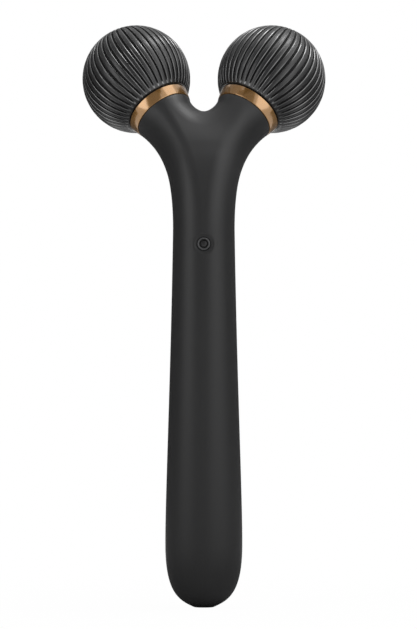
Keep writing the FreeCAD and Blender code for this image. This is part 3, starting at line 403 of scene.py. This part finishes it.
def button_satin(name, tone, form):
    """Satin plastic of the button: a paler rim as a painted highlight, and a groove and a sunk disc darkened by
    painted shade.
    """
    material, sheet = new_finish(name)
    reach = sheet.reach(sheet.stretched((1, 0, 1)))
    inner = form.radius - form.rim
    disc = inner - form.groove
    rim = reach.between(inner - FIT, inner + BUTTON_BLEND)
    groove = reach.between(disc - BUTTON_BLEND, disc + FIT)
    # Painted shade: the groove's colour falls to 3 % of the tone and the sunk disc's to 60 %.
    sunk = sheet.blend(groove, rgba(tone, 0.6), rgba(tone, 0.03))
    cloud = sheet.speckle(900.0)
    # Painted highlight: the rim is given the tone made 2.5 times lighter.
    sheet.finish(Base_Color=sheet.blend(rim, sunk, rgba(tone, 2.5)), Roughness=0.30 + 0.06 * cloud,
                 Specular_IOR_Level=0.5, Normal=sheet.relief(sheet.speckle(3000.0, 1.0), GRAIN_DEPTH))
    return material


def machined(name, tone, roughness=0.28, lines=2400.0):
    """Turned or drawn metal with fine lines round it."""
    material, sheet = new_finish(name)
    cloud = sheet.speckle(300.0)
    scratch = sheet.speckle(lines, 2.0, sheet.stretched((0.04, 0.04, 1.0)))
    sheet.finish(Base_Color=sheet.blend(cloud, rgba(tone, 0.9), rgba(tone, 1.05)), Metallic=1.0,
                 Roughness=roughness + 0.14 * (scratch - 0.5), Normal=sheet.relief(scratch, GRAIN_DEPTH))
    return material


def circuit(name):
    """Solder mask with tracks under it."""
    material, sheet = new_finish(name)
    place = sheet.place()
    tracks = sheet.node("ShaderNodeTexBrick", {"offset": 0.5},
                        {"Vector": place, "Scale": 320.0, "Mortar Size": 0.05, "Color1": (0, 0, 0, 1),
                         "Color2": (0, 0, 0, 1), "Mortar": (1, 1, 1, 1)}, "Fac")
    cloud = sheet.speckle(400.0)
    mask = sheet.blend(tracks, (0.006, 0.085, 0.035, 1), (0.012, 0.17, 0.07, 1))
    sheet.finish(Base_Color=mask, Roughness=0.3 + 0.1 * cloud, Normal=sheet.relief(tracks, 0.03 * MM))
    return material


# Shapes as nets of points

ROUND_STEPS = 5


def bezier(poles, parts):
    """Points of a cubic curve in the plane."""
    poles = np.asarray(poles, float)
    parts = np.asarray(parts, float)[:, None]
    rest = 1 - parts
    return (rest ** 3 * poles[0] + 3 * rest ** 2 * parts * poles[1]
            + 3 * rest * parts ** 2 * poles[2] + parts ** 3 * poles[3])


def rounded(corners):
    """Closed outline of (radius, height, rounding) corners with its corners rounded."""
    outline = []
    total = len(corners)
    for i, (radius, height, rounding) in enumerate(corners):
        here = np.array((radius, height))
        before = np.array(corners[i - 1][:2]) - here
        after = np.array(corners[(i + 1) % total][:2]) - here
        if rounding <= 0:
            outline.append(here)
            continue
        start = here + before / np.linalg.norm(before) * rounding
        end = here + after / np.linalg.norm(after) * rounding
        for part in np.linspace(0, 1, ROUND_STEPS):
            outline.append((1 - part) ** 2 * start + 2 * part * (1 - part) * here + part ** 2 * end)
    outline.append(outline[0])
    return np.array(outline)


def lathe(outline, segments):
    """Net of an outline turned about Z."""
    turn = np.linspace(0, 2 * math.pi, segments + 1)
    radius = outline[:, 0][:, None]
    height = np.repeat(outline[:, 1][:, None], segments + 1, 1)
    return np.stack((radius * np.cos(turn), radius * np.sin(turn), height), -1)


def piece(name, nets, finish, place=None, outward=None, sharp=32.0):
    """Mesh from nets of points, welded where they meet, facing outward.

    The turn of its place goes into the mesh, so that only a shift is left on the object.
    """
    shape = bmesh.new()
    for net in nets:
        corners = [[shape.verts.new(point) for point in row] for row in net]
        for low, high in zip(corners, corners[1:]):
            for a, b, c, d in zip(low, low[1:], high[1:], high):
                shape.faces.new((a, b, c, d))
    bmesh.ops.remove_doubles(shape, verts=shape.verts, dist=WELD)
    bmesh.ops.dissolve_degenerate(shape, edges=shape.edges, dist=WELD)
    bmesh.ops.recalc_face_normals(shape, faces=shape.faces)
    if outward is None:
        inside_out = shape.calc_volume(signed=True) < 0
    else:
        point, direction = (Vector(item) for item in outward)
        nearest = min(shape.faces, key=lambda face: (face.calc_center_median() - point).length)
        inside_out = nearest.normal.dot(direction) < 0
    if inside_out:
        bmesh.ops.reverse_faces(shape, faces=shape.faces)
    if place is not None:
        bmesh.ops.transform(shape, matrix=place.to_3x3().to_4x4(), verts=shape.verts)
    mesh = bpy.data.meshes.new(name)
    shape.to_mesh(mesh)
    shape.free()
    mesh.shade_smooth()
    mesh.set_sharp_from_angle(angle=math.radians(sharp))
    mesh.materials.append(finish)
    made = bpy.data.objects.new(name, mesh)
    bpy.context.scene.collection.objects.link(made)
    if place is not None:
        made.location = place.translation
    return made


def stand_for(made, body, slot, *nodes):
    """Let a piece ride on a body in place of CAD nodes."""
    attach(made, body)
    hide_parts(*nodes)


def ball_joint(side):
    """Joint on which the ball of a side spins."""
    return next(JOINTS[f"{name}_ball_spin"] for name, value in SIDES if value == side)


def arm_axis(side):
    """Direction out along an arm."""
    return Vector(ball_joint(side)["axis"]).normalized()


def arm_place(side):
    """Placement at a ball's centre with local Z out along the arm."""
    turn = Vector((0, 0, 1)).rotation_difference(arm_axis(side)).to_matrix().to_4x4()
    return Matrix.Translation(Vector(ball_joint(side)["pos_m"])) @ turn


class HousingLines:
    """Lines of the handle and the Y head, on a sheet that bends back with the neck."""

    CROWN_DIP = 3
    DENSE = 4000

    def __init__(self, form):
        self.form = form
        axis = arm_axis(1)
        self.splay = math.asin(axis.x)
        self.lean = math.atan2(axis.y, axis.z)
        self.start = -form.bend_radius * self.lean
        self.half_flat = form.crown_flat / 2
        run = np.array((math.sin(self.splay), math.cos(self.splay)))
        out = np.array((math.cos(self.splay), -math.sin(self.splay)))
        flare = self.splay + form.flare_angle
        flared = np.array((math.sin(flare), math.cos(flare)))
        steep = np.array((math.sin(form.fork_steep), math.cos(form.fork_steep)))
        seat = run * (form.arm_length - form.shoulder_back)
        rim_out = seat + out * form.arm_radius
        rim_in = seat - out * form.arm_radius
        bottom = form.fork_reach + form.fork_depth
        self.seat = seat
        self.crest = [(self.half_flat, self.start), (self.half_flat, self.start + form.crest_lead),
                      seat - run * form.crest_tail, seat]
        side = self.half_flat + form.neck_radius
        self.outside = [(side, self.start), (side, self.start + form.arm_lead),
                        rim_out - flared * form.flare_length, rim_out]
        self.saddle_crest = [(0, form.fork_reach), (form.fork_width, form.fork_reach),
                             seat - steep * form.fork_width, seat]
        self.saddle_rim = [(0, bottom), (form.fork_round * rim_in[0], bottom),
                           (rim_in[0], rim_in[1] - form.fork_round * (rim_in[1] - bottom)), rim_in]
        parts = np.linspace(0, 1, self.DENSE)
        tip = bezier([(form.tip_flat, 0), (form.tip_out, form.tip_up), (form.grip_radius, form.tip_rise),
                      (form.grip_radius, form.grip_height)], parts)
        grip = bezier([(form.grip_radius, form.grip_height),
                       (form.grip_radius, form.grip_height + form.grip_hold),
                       (form.neck_radius + form.neck_taper, form.neck_height - form.neck_hold),
                       (form.neck_radius, form.neck_height)], parts)
        self.outline = np.vstack((tip, grip[1:]))

    def radius(self, height):
        """Half depth of the handle at a height."""
        return np.interp(height, self.outline[:, 1], self.outline[:, 0])

    def sheet(self, along):
        """Depth, height and lean of the sheet."""
        form = self.form
        lean = np.clip((along - self.start) / form.bend_radius, 0, self.lean)
        beyond = np.maximum(along, 0)
        below = np.minimum(along - self.start, 0)
        depth = form.bend_radius * (1 - np.cos(lean)) + beyond * math.sin(self.lean)
        height = form.neck_height + form.bend_radius * np.sin(lean) + beyond * math.cos(self.lean) + below
        return depth, height, lean

    def forward(self, x, along, amount):
        """Points forward of the sheet."""
        depth, height, lean = self.sheet(along)
        return np.stack((x, depth - amount * np.cos(lean), height + amount * np.sin(lean)), -1)

    def tube(self, crest, rim, depth, angles, facing, sink):
        """Net of quarter ellipses from the rim, at angle 0, to the crest."""
        y, z, lean = (value[:, None] for value in self.sheet(crest[:, 1]))
        side = rim - crest
        span = np.hypot(side[:, 0], side[:, 1])[:, None]
        across = np.cos(angles) * (1 - sink / span)
        rise = side[:, 1][:, None] * across
        x = crest[:, 0][:, None] + side[:, 0][:, None] * across
        valley = self.valley(x, crest[:, 1][:, None] + rise)
        deep = facing * (depth[:, None] - valley) * np.sin(angles)
        return np.stack((x, y + rise * np.sin(lean) - deep * np.cos(lean),
                         z + rise * np.cos(lean) + deep * np.sin(lean)), -1)

    def rows(self, heights, parts):
        """Crest, rim, depth and dip of each row: port, tip, handle and head."""
        form = self.form
        rim = [(form.port_hole, form.port_depth), (form.port_hole, 0)]
        crest = [(0, height) for _, height in rim]
        depth = [radius for radius, _ in rim]
        for height in heights:
            radius = float(self.radius(height))
            crest.append((self.half_flat, height))
            rim.append((self.half_flat + radius, height))
            depth.append(radius)
        lift = self.start - form.neck_height
        crest = np.array(crest) + (0, lift)
        rim = np.array(rim) + (0, lift)
        easing = parts ** 2 * (3 - 2 * parts)
        head_depth = form.neck_radius + (form.arm_radius - form.neck_radius) * easing
        crest = np.vstack((crest, bezier(self.crest, parts)))
        rim = np.vstack((rim, bezier(self.outside, parts)))
        depth = np.concatenate((depth, head_depth))
        dip = np.concatenate((np.zeros(len(depth) - len(parts)), parts ** self.CROWN_DIP))
        return crest, rim, depth, dip

    def valley(self, x, along):
        """Depth of the soft valley between the arms, which fades out below the shoulders."""
        form = self.form
        wide = np.clip(1 - (x / form.valley_width) ** 2, 0, 1)
        tall = np.clip(1 - ((along - form.valley_middle) / form.valley_length) ** 2, 0, 1)
        out = (self.seat[0] - np.abs(x)) * math.sin(self.splay)
        below = out + (self.seat[1] - along) * math.cos(self.splay)
        near = np.clip(below / form.valley_fade, 0, 1)
        return form.valley_depth * wide ** 2 * tall ** 2 * near ** 2 * (3 - 2 * near)

    def crown(self, crest, depth, dip, across, facing):
        """Net of the crown between the two crests."""
        low = bezier(self.saddle_crest, np.abs(across))
        low_x = np.copysign(low[:, 0], across)
        dip = dip[:, None]
        x = across * crest[:, 0][:, None] + dip * (low_x - across * self.seat[0])
        along = crest[:, 1][:, None] + dip * (low[:, 1] - self.seat[1])
        return self.forward(x, along, facing * (depth[:, None] - self.valley(x, along)))

    def saddle(self, across, angles, facing, sink):
        """Net of the fork's saddle."""
        crest = bezier(self.saddle_crest, np.abs(across))
        rim = bezier(self.saddle_rim, np.abs(across))
        for line in (crest, rim):
            line[:, 0] = np.copysign(line[:, 0], across)
        depth = np.full(len(across), self.form.arm_radius)
        return self.tube(crest, rim, depth, angles, facing, sink)


def mirrored(net):
    """The same net on the other side."""
    return net * np.array((-1, 1, 1))


def shoulder(rim, form, side):
    """Net from a shoulder's rim over its flat to the spigot."""
    place = arm_place(side)
    centre = np.array(place @ Vector((0, 0, -form.shoulder_back)))
    axis = np.array(arm_axis(side))
    spokes = (rim - centre) / form.arm_radius
    soft = form.edge_round
    level = soft / 3
    steps = [(form.arm_radius, 0), (form.arm_radius - soft, level), (form.spigot_radius, level),
             (form.spigot_radius, form.spigot_length)]
    return np.array([centre + spokes * radius + axis * rise for radius, rise in steps])


# Angles beside the seam, in radians, and the share of its depth at each
SEAM_ANGLES = (0.0008, 0.006, 0.016, 0.04)
SEAM_SINK = (1.0, 0.25, 0.03, 0.0)

# Columns, rows and rings of the shells' nets
SIDE_COLUMNS = 26
CROWN_COLUMNS = 25
TIP_ROWS = 28
GRIP_ROWS = 34
PATCH_ROWS = 13
HEAD_ROWS = 56
NECK_STEP = 0.2 * MM
BUTTON_RINGS = 11
RING_SPREAD = 1.3
HOLE_STEPS = (0.08, 1.0)


def shell_nets(form, button, facing):
    """Nets of the front or the rear shell."""
    lines = HousingLines(form)
    angles = np.concatenate((SEAM_ANGLES, np.linspace(0, math.pi / 2, SIDE_COLUMNS)[2:]))
    sink = np.zeros(len(angles))
    sink[:len(SEAM_SINK)] = np.array(SEAM_SINK) * form.seam_depth
    across = np.linspace(1, -1, CROWN_COLUMNS)
    parts = np.linspace(0, 1, HEAD_ROWS)
    low = button.height - button.patch
    high = button.height + button.patch
    tip = bezier([(0, 0), (0, form.tip_up), (0, form.tip_rise), (0, form.grip_height)],
                 np.linspace(0, 1, TIP_ROWS))[:, 1]
    grip = np.linspace(form.grip_height, low, GRIP_ROWS)[1:]
    patch = np.linspace(low, high, PATCH_ROWS)[1:]
    heights = np.concatenate((tip, grip, patch, [form.neck_height - NECK_STEP]))
    crest, rim, depth, dip = lines.rows(heights, parts)
    side = lines.tube(crest, rim, depth, angles, facing, sink)
    crown = lines.crown(crest, depth, dip, across, facing)
    whole = np.concatenate((side, crown[:, 1:], mirrored(side)[:, -2::-1]), 1)
    saddle = lines.saddle(across, angles, facing, sink)
    nets = [saddle]
    for arm, outer, inner in ((1, side[-1], saddle[0]), (-1, mirrored(side)[-1], saddle[-1])):
        nets.append(shoulder(np.concatenate((outer, inner[-2::-1])), form, arm))
    if facing < 0:
        return nets + [whole]
    rows = [i for i, height in enumerate(crest[:, 1] - lines.start + form.neck_height)
            if low - WELD < height < high + WELD]
    columns = [j for j, x in enumerate(whole[rows[0], :, 0]) if abs(x) < button.patch]
    rest, edge = cut_out(whole, rows, columns)
    return nets + rest + [button_patch(lines, form, button, edge)]


def cut_out(whole, rows, columns):
    """Nets round a rectangle of a net, and that rectangle's closed edge."""
    first, last = rows[0], rows[-1]
    left, right = columns[0], columns[-1]
    band = whole[first:last + 1]
    nets = [whole[:first + 1], whole[last:], band[:, :left + 1], band[:, right:]]
    edge = np.concatenate((band[0, left:right], band[:-1, right], band[-1, right:left:-1],
                           band[:0:-1, left], band[0, left:left + 1]))
    return nets, edge


def button_patch(lines, form, button, edge):
    """Net of rings from the patch's edge in to the button's hole, sunk in a soft hollow."""
    flat = edge[:, [0, 2]] - (0, button.height)
    bearing = np.arctan2(flat[:, 1], flat[:, 0])
    hole = button.radius + button.gap
    circle = np.stack((np.cos(bearing), np.sin(bearing)), -1) * hole
    rings = [edge]
    for part in np.linspace(1, 0, BUTTON_RINGS)[1:] ** RING_SPREAD:
        spot = circle * (1 - part) + flat * part
        radius = lines.radius(spot[:, 1] + button.height)
        aside = np.maximum(np.abs(spot[:, 0]) - lines.half_flat, 0)
        reach = np.hypot(spot[:, 0], spot[:, 1])
        fall = np.clip((button.hollow - reach) / (button.hollow - hole), 0, 1)
        sunk = button.hollow_depth * fall ** 2 * (3 - 2 * fall)
        depth = np.sqrt(radius ** 2 - aside ** 2) - sunk
        rings.append(np.stack((spot[:, 0], -depth, spot[:, 1] + button.height), -1))
    mouth = rings[-1]
    for step in HOLE_STEPS:
        rings.append(mouth + np.array((0, step * form.wall, 0)))
    return np.array(rings)


# Steps across half a rib, as shares of its half width, and rows and segments of the turned pieces
RIB_STEPS = (0, 0.4, 0.65, 0.8, 0.89, 0.95, 0.985, 1)
LIP_ROWS = 9
RIB_ROWS = 50
RIM_ROWS = 12
FACE_SHARE = 0.97
CAP_ROWS = 16
CAP_SEGMENTS = 96
COLLAR_SEGMENTS = 192
BUTTON_SEGMENTS = 72


def rib_section(form):
    """Places across one pitch, in half pitches from its middle, and the share of the depth at each."""
    steps = np.array(RIB_STEPS)
    fall = 1 - (1 - steps ** form.rib_square) ** (1 / form.rib_square)
    half = steps * (1 - form.groove_share)
    places = np.concatenate(((-1,), -half[:0:-1], half))
    falls = np.concatenate(((1,), fall[:0:-1], fall))
    return places, falls


def ring_like(near, radius, height):
    """Ring of points at the bearings of another ring."""
    flat = near[:, :2] / np.linalg.norm(near[:, :2], axis=1)[:, None] * radius
    return np.column_stack((flat, np.full(len(near), height)))


def ribbed_net(form, side):
    """Net of a ball with its swirl of ribs, about local Z."""
    start = math.asin(-form.face / form.radius)
    end = math.acos((form.cap_radius + FIT) / form.radius)
    run = form.groove_run
    ribs_start = start + form.lip + form.lip_run
    ribs_end = form.groove_end - run
    latitudes = np.concatenate((np.linspace(start, ribs_start, LIP_ROWS),
                                np.linspace(ribs_start, ribs_end, RIB_ROWS)[1:],
                                np.linspace(ribs_end, end, RIM_ROWS)[1:]))
    pitch = 2 * math.pi / form.ribs
    places, falls = rib_section(form)
    rows = []
    for latitude in latitudes:
        risen = np.clip((latitude - start - form.lip) / form.lip_run, 0, 1)
        fade = min(np.clip((form.groove_end - latitude) / run, 0, 1), risen)
        bend = form.swirl_square * latitude ** 2 + form.swirl_cube * latitude ** 3
        middles = np.arange(form.ribs) * pitch - bend
        longitude = (middles[:, None] + places * pitch / 2).ravel()
        fall = falls * fade + form.lip_share * (1 - risen)
        radius = np.tile(form.radius - fall * form.groove_depth, form.ribs)
        longitude = np.append(longitude, longitude[0] + 2 * math.pi)
        radius = np.append(radius, radius[0])
        flat = radius * math.cos(latitude)
        rows.append(np.stack((flat * np.cos(longitude), flat * np.sin(longitude),
                              radius * math.sin(latitude)), -1))
    first, last = rows[0], rows[-1]
    steps = ((form.cap_radius + FIT, form.cap_seat), (form.room, form.cap_seat),
             (form.room, form.bush_end), (form.bore, form.bush_end))
    inside = [ring_like(last, radius, height) for radius, height in steps]
    face_edge = form.radius * math.cos(start) * FACE_SHARE
    underside = [ring_like(first, radius, -form.face) for radius in (form.bore, face_edge)]
    net = np.array(underside + rows + inside + underside[:1])
    return net if side > 0 else mirrored(net)


class ROLLER_OT_shells(bpy.types.Operator):
    """Skin the handle and its Y head with the two soft-touch shells"""
    bl_idname = "roller.shells"
    bl_label = "Shells"

    def execute(self, context):
        form = context.scene.roller_housing
        button = context.scene.roller_button
        finish = soft_touch("soft_touch_black", context.scene.roller_finishes.soft_black)
        for name, node, facing in (("front_skin", "front_shell", 1), ("rear_skin", "rear_shell", -1)):
            probe = Vector((0, -facing * form.grip_radius, form.grip_height + form.grip_hold))
            made = piece(name, shell_nets(form, button, facing), finish, None, (probe, (0, -facing, 0)))
            wall = made.modifiers.new("wall", "SOLIDIFY")
            wall.thickness = form.wall
            wall.offset = -1.0
            stand_for(made, "handle", "housing", node)
        return {"FINISHED"}


class ROLLER_OT_balls(bpy.types.Operator):
    """Turn the ribbed balls and their end caps"""
    bl_idname = "roller.balls"
    bl_label = "Ribbed balls"

    def execute(self, context):
        form = context.scene.roller_balls
        tone = context.scene.roller_finishes.rib_black
        ribs = ribbed_satin("ribbed_satin_black", tone, form)
        cap_finish = moulded("cap_black", tone, 0.36, 3000.0, GRAIN_DEPTH)
        rim = math.sqrt(form.radius ** 2 - form.cap_radius ** 2)
        latitudes = np.linspace(math.asin(rim / form.radius), math.pi / 2, CAP_ROWS)[1:]
        dome = [(form.radius * math.cos(turn), form.radius * math.sin(turn), 0) for turn in latitudes]
        plug = form.room - FIT
        plug_end = form.cap_seat - form.cap_plug
        outline = rounded([(0, plug_end, 0), (plug, plug_end, 0), (plug, form.cap_seat, 0),
                           (form.cap_radius, form.cap_seat, 0),
                           (form.cap_radius, rim, form.cap_round)] + dome)
        for name, side in SIDES:
            place = arm_place(side)
            ball = piece(f"{name}_ribbed_ball", [ribbed_net(form, side)], ribs, place, sharp=50.0)
            stand_for(ball, f"{name}_roller", "balls", f"{name}_ball")
            cap = piece(f"{name}_end_cap", [lathe(outline, CAP_SEGMENTS)], cap_finish, place)
            stand_for(cap, f"{name}_roller", "balls", f"{name}_cap")
        return {"FINISHED"}


class ROLLER_OT_collars(bpy.types.Operator):
    """Fit the polished collars between the arms and the balls"""
    bl_idname = "roller.collars"
    bl_label = "Collars"

    def execute(self, context):
        form = context.scene.roller_collars
        housing = context.scene.roller_housing
        finish = polished_plate("polished_rose_gold", context.scene.roller_finishes.rose_gold)
        low = -(housing.shoulder_back - form.gap)
        high = low + form.height
        narrow = housing.arm_radius + form.proud
        wide = narrow + form.flare
        soft = form.rounding
        lip_low = high - form.lip
        outline = rounded([(form.bore, low, 0), (narrow, low, soft), (wide, high, soft),
                           (form.lip_radius, high, soft), (form.lip_radius, lip_low, 0),
                           (form.bore, lip_low, 0)])
        turned = lathe(outline, COLLAR_SEGMENTS)
        for name, side in SIDES:
            ring = piece(f"{name}_gold_collar", [turned], finish, arm_place(side), sharp=24.0)
            stand_for(ring, "handle", "collars", f"{name}_collar")
        return {"FINISHED"}


class ROLLER_OT_button(bpy.types.Operator):
    """Set the push button, with its raised rim and sunk disc, in the neck"""
    bl_idname = "roller.button"
    bl_label = "Push button"

    def execute(self, context):
        form = context.scene.roller_button
        low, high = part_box("power_button")
        finish = button_satin("button_satin", context.scene.roller_finishes.button_grey, form)
        top = -low.y
        end = -high.y
        flange_top = top - form.flange_drop
        flange_low = flange_top - form.flange_thick
        groove_low = top - form.groove_depth
        inner = form.radius - form.rim
        disc = inner - form.groove
        disc_edge = top - form.disc_drop
        half_way = disc_edge + form.disc_swell * (1 - 0.5 ** 2)
        outline = rounded([
            (0, end, 0), (form.stem, end, form.inner_round), (form.stem, flange_low, 0),
            (form.flange, flange_low, 0), (form.flange, flange_top, form.inner_round),
            (form.radius, flange_top, 0), (form.radius, top, form.rim_outside), (inner, top, form.rim_inside),
            (inner, groove_low, 0), (disc, groove_low, 0), (disc, disc_edge, form.disc_round),
            (disc / 2, half_way, 0), (0, disc_edge + form.disc_swell, 0)])
        place = Matrix.Translation((0, 0, form.height)) @ Matrix.Rotation(math.pi / 2, 4, "X")
        made = piece("button_top", [lathe(outline, BUTTON_SEGMENTS)], finish, place)
        stand_for(made, "button", "button", "power_button")
        return {"FINISHED"}


class ROLLER_OT_insides(bpy.types.Operator):
    """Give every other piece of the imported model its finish"""
    bl_idname = "roller.insides"
    bl_label = "Insides"

    def execute(self, context):
        finishes = {
            "steel": machined("turned_steel", (0.42, 0.42, 0.43)),
            "bushes": machined("sintered_bronze", (0.42, 0.26, 0.09), 0.45, 900.0),
            "washers": moulded("natural_nylon", (0.6, 0.58, 0.53), 0.4),
            "yoke": machined("die_cast_alloy", (0.5, 0.5, 0.51), 0.5, 500.0),
            "socket": moulded("port_black", (0.014, 0.014, 0.015), 0.4),
            "seals": moulded("seal_rubber", (0.022, 0.022, 0.023), 0.7, 1800.0, 0.02 * MM, 0.3),
            "cell": moulded("cell_sleeve", (0.02, 0.10, 0.30), 0.25, 900.0),
            "chassis": moulded("chassis_plastic", (0.55, 0.55, 0.53), 0.5),
            "board": circuit("solder_mask"),
            "chips": moulded("chip_resin", (0.016, 0.016, 0.017), 0.5),
            "switch": moulded("switch_resin", (0.12, 0.12, 0.13), 0.4),
            "motor": machined("motor_can_steel", (0.5, 0.5, 0.5), 0.22),
            "weight": machined("sintered_weight", (0.3, 0.3, 0.31), 0.5, 700.0),
            "leads": moulded("lead_insulation", (0.35, 0.014, 0.014), 0.4),
        }
        for entry in frame["record"]["subparts"]:
            if entry["material_slot"] in finishes:
                slots = frame["nodes"][entry["node"]].data.materials
                slots.clear()
                slots.append(finishes[entry["material_slot"]])
        return {"FINISHED"}


FLOOR_SIDE = 12.0
FLOOR_GAP = 0.3 * MM
CAMERA_SIGHT = 50.0

# Lamps: name, azimuth from the camera's side, distance, height, downward tilt, width and length (degrees, mm)
LAMPS = (
    ("left_strip", -50, 300, 205, 0, 140, 240),
    ("right_strip", 42, 300, 190, 0, 200, 220),
    ("left_wing", -62, 335, 343, 33, 120, 80),
    ("right_wing", 66, 300, 430, 44, 300, 220),
    ("top_box", 45, 110, 630, 80, 200, 160),
    ("crown_lamp", 110, 198, 605, 70, 170, 170),
)

# Boards: name, place and size as for the lamps, and a grey
BOARDS = (
    ("front_board", -10, 500, 325, 0, 405, 650, 0.45),
    ("upper_left_board", -50, 500, 525, 0, 420, 390, 0.5),
    ("brow_board", -6, 340, 650, 57, 420, 320, 0.12),
    ("left_board", -125, 220, 130, 0, 520, 260, 0.12),
    ("right_board", 125, 220, 100, 0, 520, 200, 0.25),
    ("mat_board", 0, 0, 0.1, 90, 250, 250, 0.25),
    ("ball_board", -97, 104, 230, 45, 130, 130, 0.6),
    ("back_board", 180, 260, 200, 0, 500, 400, 0.45),
)


def around(azimuth, away, height):
    """Point of the stage at an azimuth from the camera's side."""
    turn = math.radians(azimuth)
    return Vector((math.sin(turn) * away, -math.cos(turn) * away, height)) * MM


def aimed(azimuth, tilt):
    """Turn of a lamp or board that faces the handle, tilted down."""
    return math.pi / 2 - math.radians(tilt), 0, math.radians(azimuth)


class ROLLER_OT_stage(bpy.types.Operator):
    """Build the pale stage with its camera and soft light"""
    bl_idname = "roller.stage"
    bl_label = "Stage"

    def execute(self, context):
        form = context.scene.roller_stage
        scene = context.scene
        scene.view_settings.view_transform = "Standard"
        self.camera(scene, form)
        self.room(scene, form)
        self.floor(scene, form)
        self.lamps(scene, form)
        self.boards(scene)
        return {"FINISHED"}

    def camera(self, scene, form):
        """Level camera in front of the handle, with the image's own frame."""
        data = bpy.data.cameras.new("camera")
        data.sensor_fit = "VERTICAL"
        data.sensor_height = form.sensor / MM
        data.lens = form.camera_away / form.pixel * data.sensor_height / IMAGE_HEIGHT
        data.clip_end = CAMERA_SIGHT
        camera = bpy.data.objects.new("camera", data)
        camera.location = (form.camera_aside, -form.camera_away, form.camera_height)
        camera.rotation_euler = (math.pi / 2, 0, 0)
        scene.collection.objects.link(camera)
        scene.camera = camera

    def room(self, scene, form):
        """White to the camera and in reflections, soft light elsewhere."""
        world = bpy.data.worlds.new("room")
        world.use_nodes = True
        scene.world = world
        sheet = FinishSheet(world.node_tree)
        soft = sheet.node("ShaderNodeBackground", {}, {"Color": (1, 1, 1, 1), "Strength": form.room_light})
        white = sheet.node("ShaderNodeBackground", {}, {"Color": (1, 1, 1, 1), "Strength": 1.0})
        mixed = sheet.node("ShaderNodeMixShader", {}, {0: sheet.seen(), 1: soft, 2: white})
        sheet.node("ShaderNodeOutputWorld", {}, {"Surface": mixed})

    def floor(self, scene, form):
        """A wide pale floor that keeps the roller's shadow and turns white away from it."""
        material, sheet = new_finish("pale_floor")
        tone = rgba(scene.roller_finishes.floor_white)
        away = sheet.reach(sheet.place())
        white = (away.between(0.0, form.shadow_reach) - 1.0) * form.shadow_share + 1.0
        matt = sheet.node("ShaderNodeBsdfDiffuse", {}, {"Color": tone})
        glow = sheet.node("ShaderNodeEmission", {}, {"Color": (1, 1, 1, 1), "Strength": 1.0})
        mixed = sheet.node("ShaderNodeMixShader", {}, {0: sheet.seen() * white, 1: matt, 2: glow})
        sheet.node("ShaderNodeOutputMaterial", {}, {"Surface": mixed})
        floor = self.board("floor", material, FLOOR_SIDE, FLOOR_SIDE)
        floor.location.z = -FLOOR_GAP
        scene.collection.objects.link(floor)

    def board(self, name, material, wide, tall):
        """Flat board of the stage, facing up, not yet in the scene."""
        mesh = bpy.data.meshes.new(name)
        signs = ((-1, -1), (1, -1), (1, 1), (-1, 1))
        corners = [(x * wide / 2, y * tall / 2, 0) for x, y in signs]
        mesh.from_pydata(corners, [], [(0, 1, 2, 3)])
        mesh.materials.append(material)
        made = bpy.data.objects.new(name, mesh)
        return made

    def boards(self, scene):
        """Grey boards round the object that only its reflections show."""
        for name, azimuth, away, height, tilt, wide, tall, tone in BOARDS:
            material, sheet = new_finish(name)
            sheet.finish(Base_Color=(tone, tone, tone, 1), Roughness=0.9, Specular_IOR_Level=0.0)
            made = self.board(name, material, wide * MM, tall * MM)
            made.location = around(azimuth, away, height)
            made.rotation_euler = aimed(azimuth, tilt)
            for ray in ("camera", "diffuse", "transmission", "shadow"):
                setattr(made, f"visible_{ray}", False)
            scene.collection.objects.link(made)

    def lamps(self, scene, form):
        """Soft rectangular lamps round the head and the handle."""
        for name, azimuth, away, height, tilt, wide, tall in LAMPS:
            data = bpy.data.lights.new(name, "AREA")
            data.shape = "RECTANGLE"
            data.size = wide * MM
            data.size_y = tall * MM
            data.energy = getattr(form, name)
            lamp = bpy.data.objects.new(name, data)
            lamp.location = around(azimuth, away, height)
            lamp.rotation_euler = aimed(azimuth, tilt)
            scene.collection.objects.link(lamp)


class ROLLER_PT_panel(bpy.types.Panel):
    """Lists the roller's pieces in the sidebar"""
    bl_idname = "ROLLER_PT_panel"
    bl_label = "Facial roller"
    bl_space_type = "VIEW_3D"
    bl_region_type = "UI"
    bl_category = "Roller"

    def draw(self, context):
        for operator in OPERATORS:
            self.layout.operator(operator.bl_idname)


OPERATORS = (ROLLER_OT_shells, ROLLER_OT_balls, ROLLER_OT_collars, ROLLER_OT_button, ROLLER_OT_insides,
             ROLLER_OT_stage)
CLASSES = tuple(GROUPS.values()) + OPERATORS + (ROLLER_PT_panel,)


def register():
    for item in CLASSES:
        bpy.utils.register_class(item)
    for name, group in GROUPS.items():
        setattr(bpy.types.Scene, name, bpy.props.PointerProperty(type=group))


def unregister():
    for name in GROUPS:
        delattr(bpy.types.Scene, name)
    for item in reversed(CLASSES):
        bpy.utils.unregister_class(item)


def main():
    register()
    bpy.ops.roller.shells()
    bpy.ops.roller.balls()
    bpy.ops.roller.collars()
    bpy.ops.roller.button()
    bpy.ops.roller.insides()
    bpy.ops.roller.stage()
    bpy.context.view_layer.update()


if __name__ == "__main__":
    main()
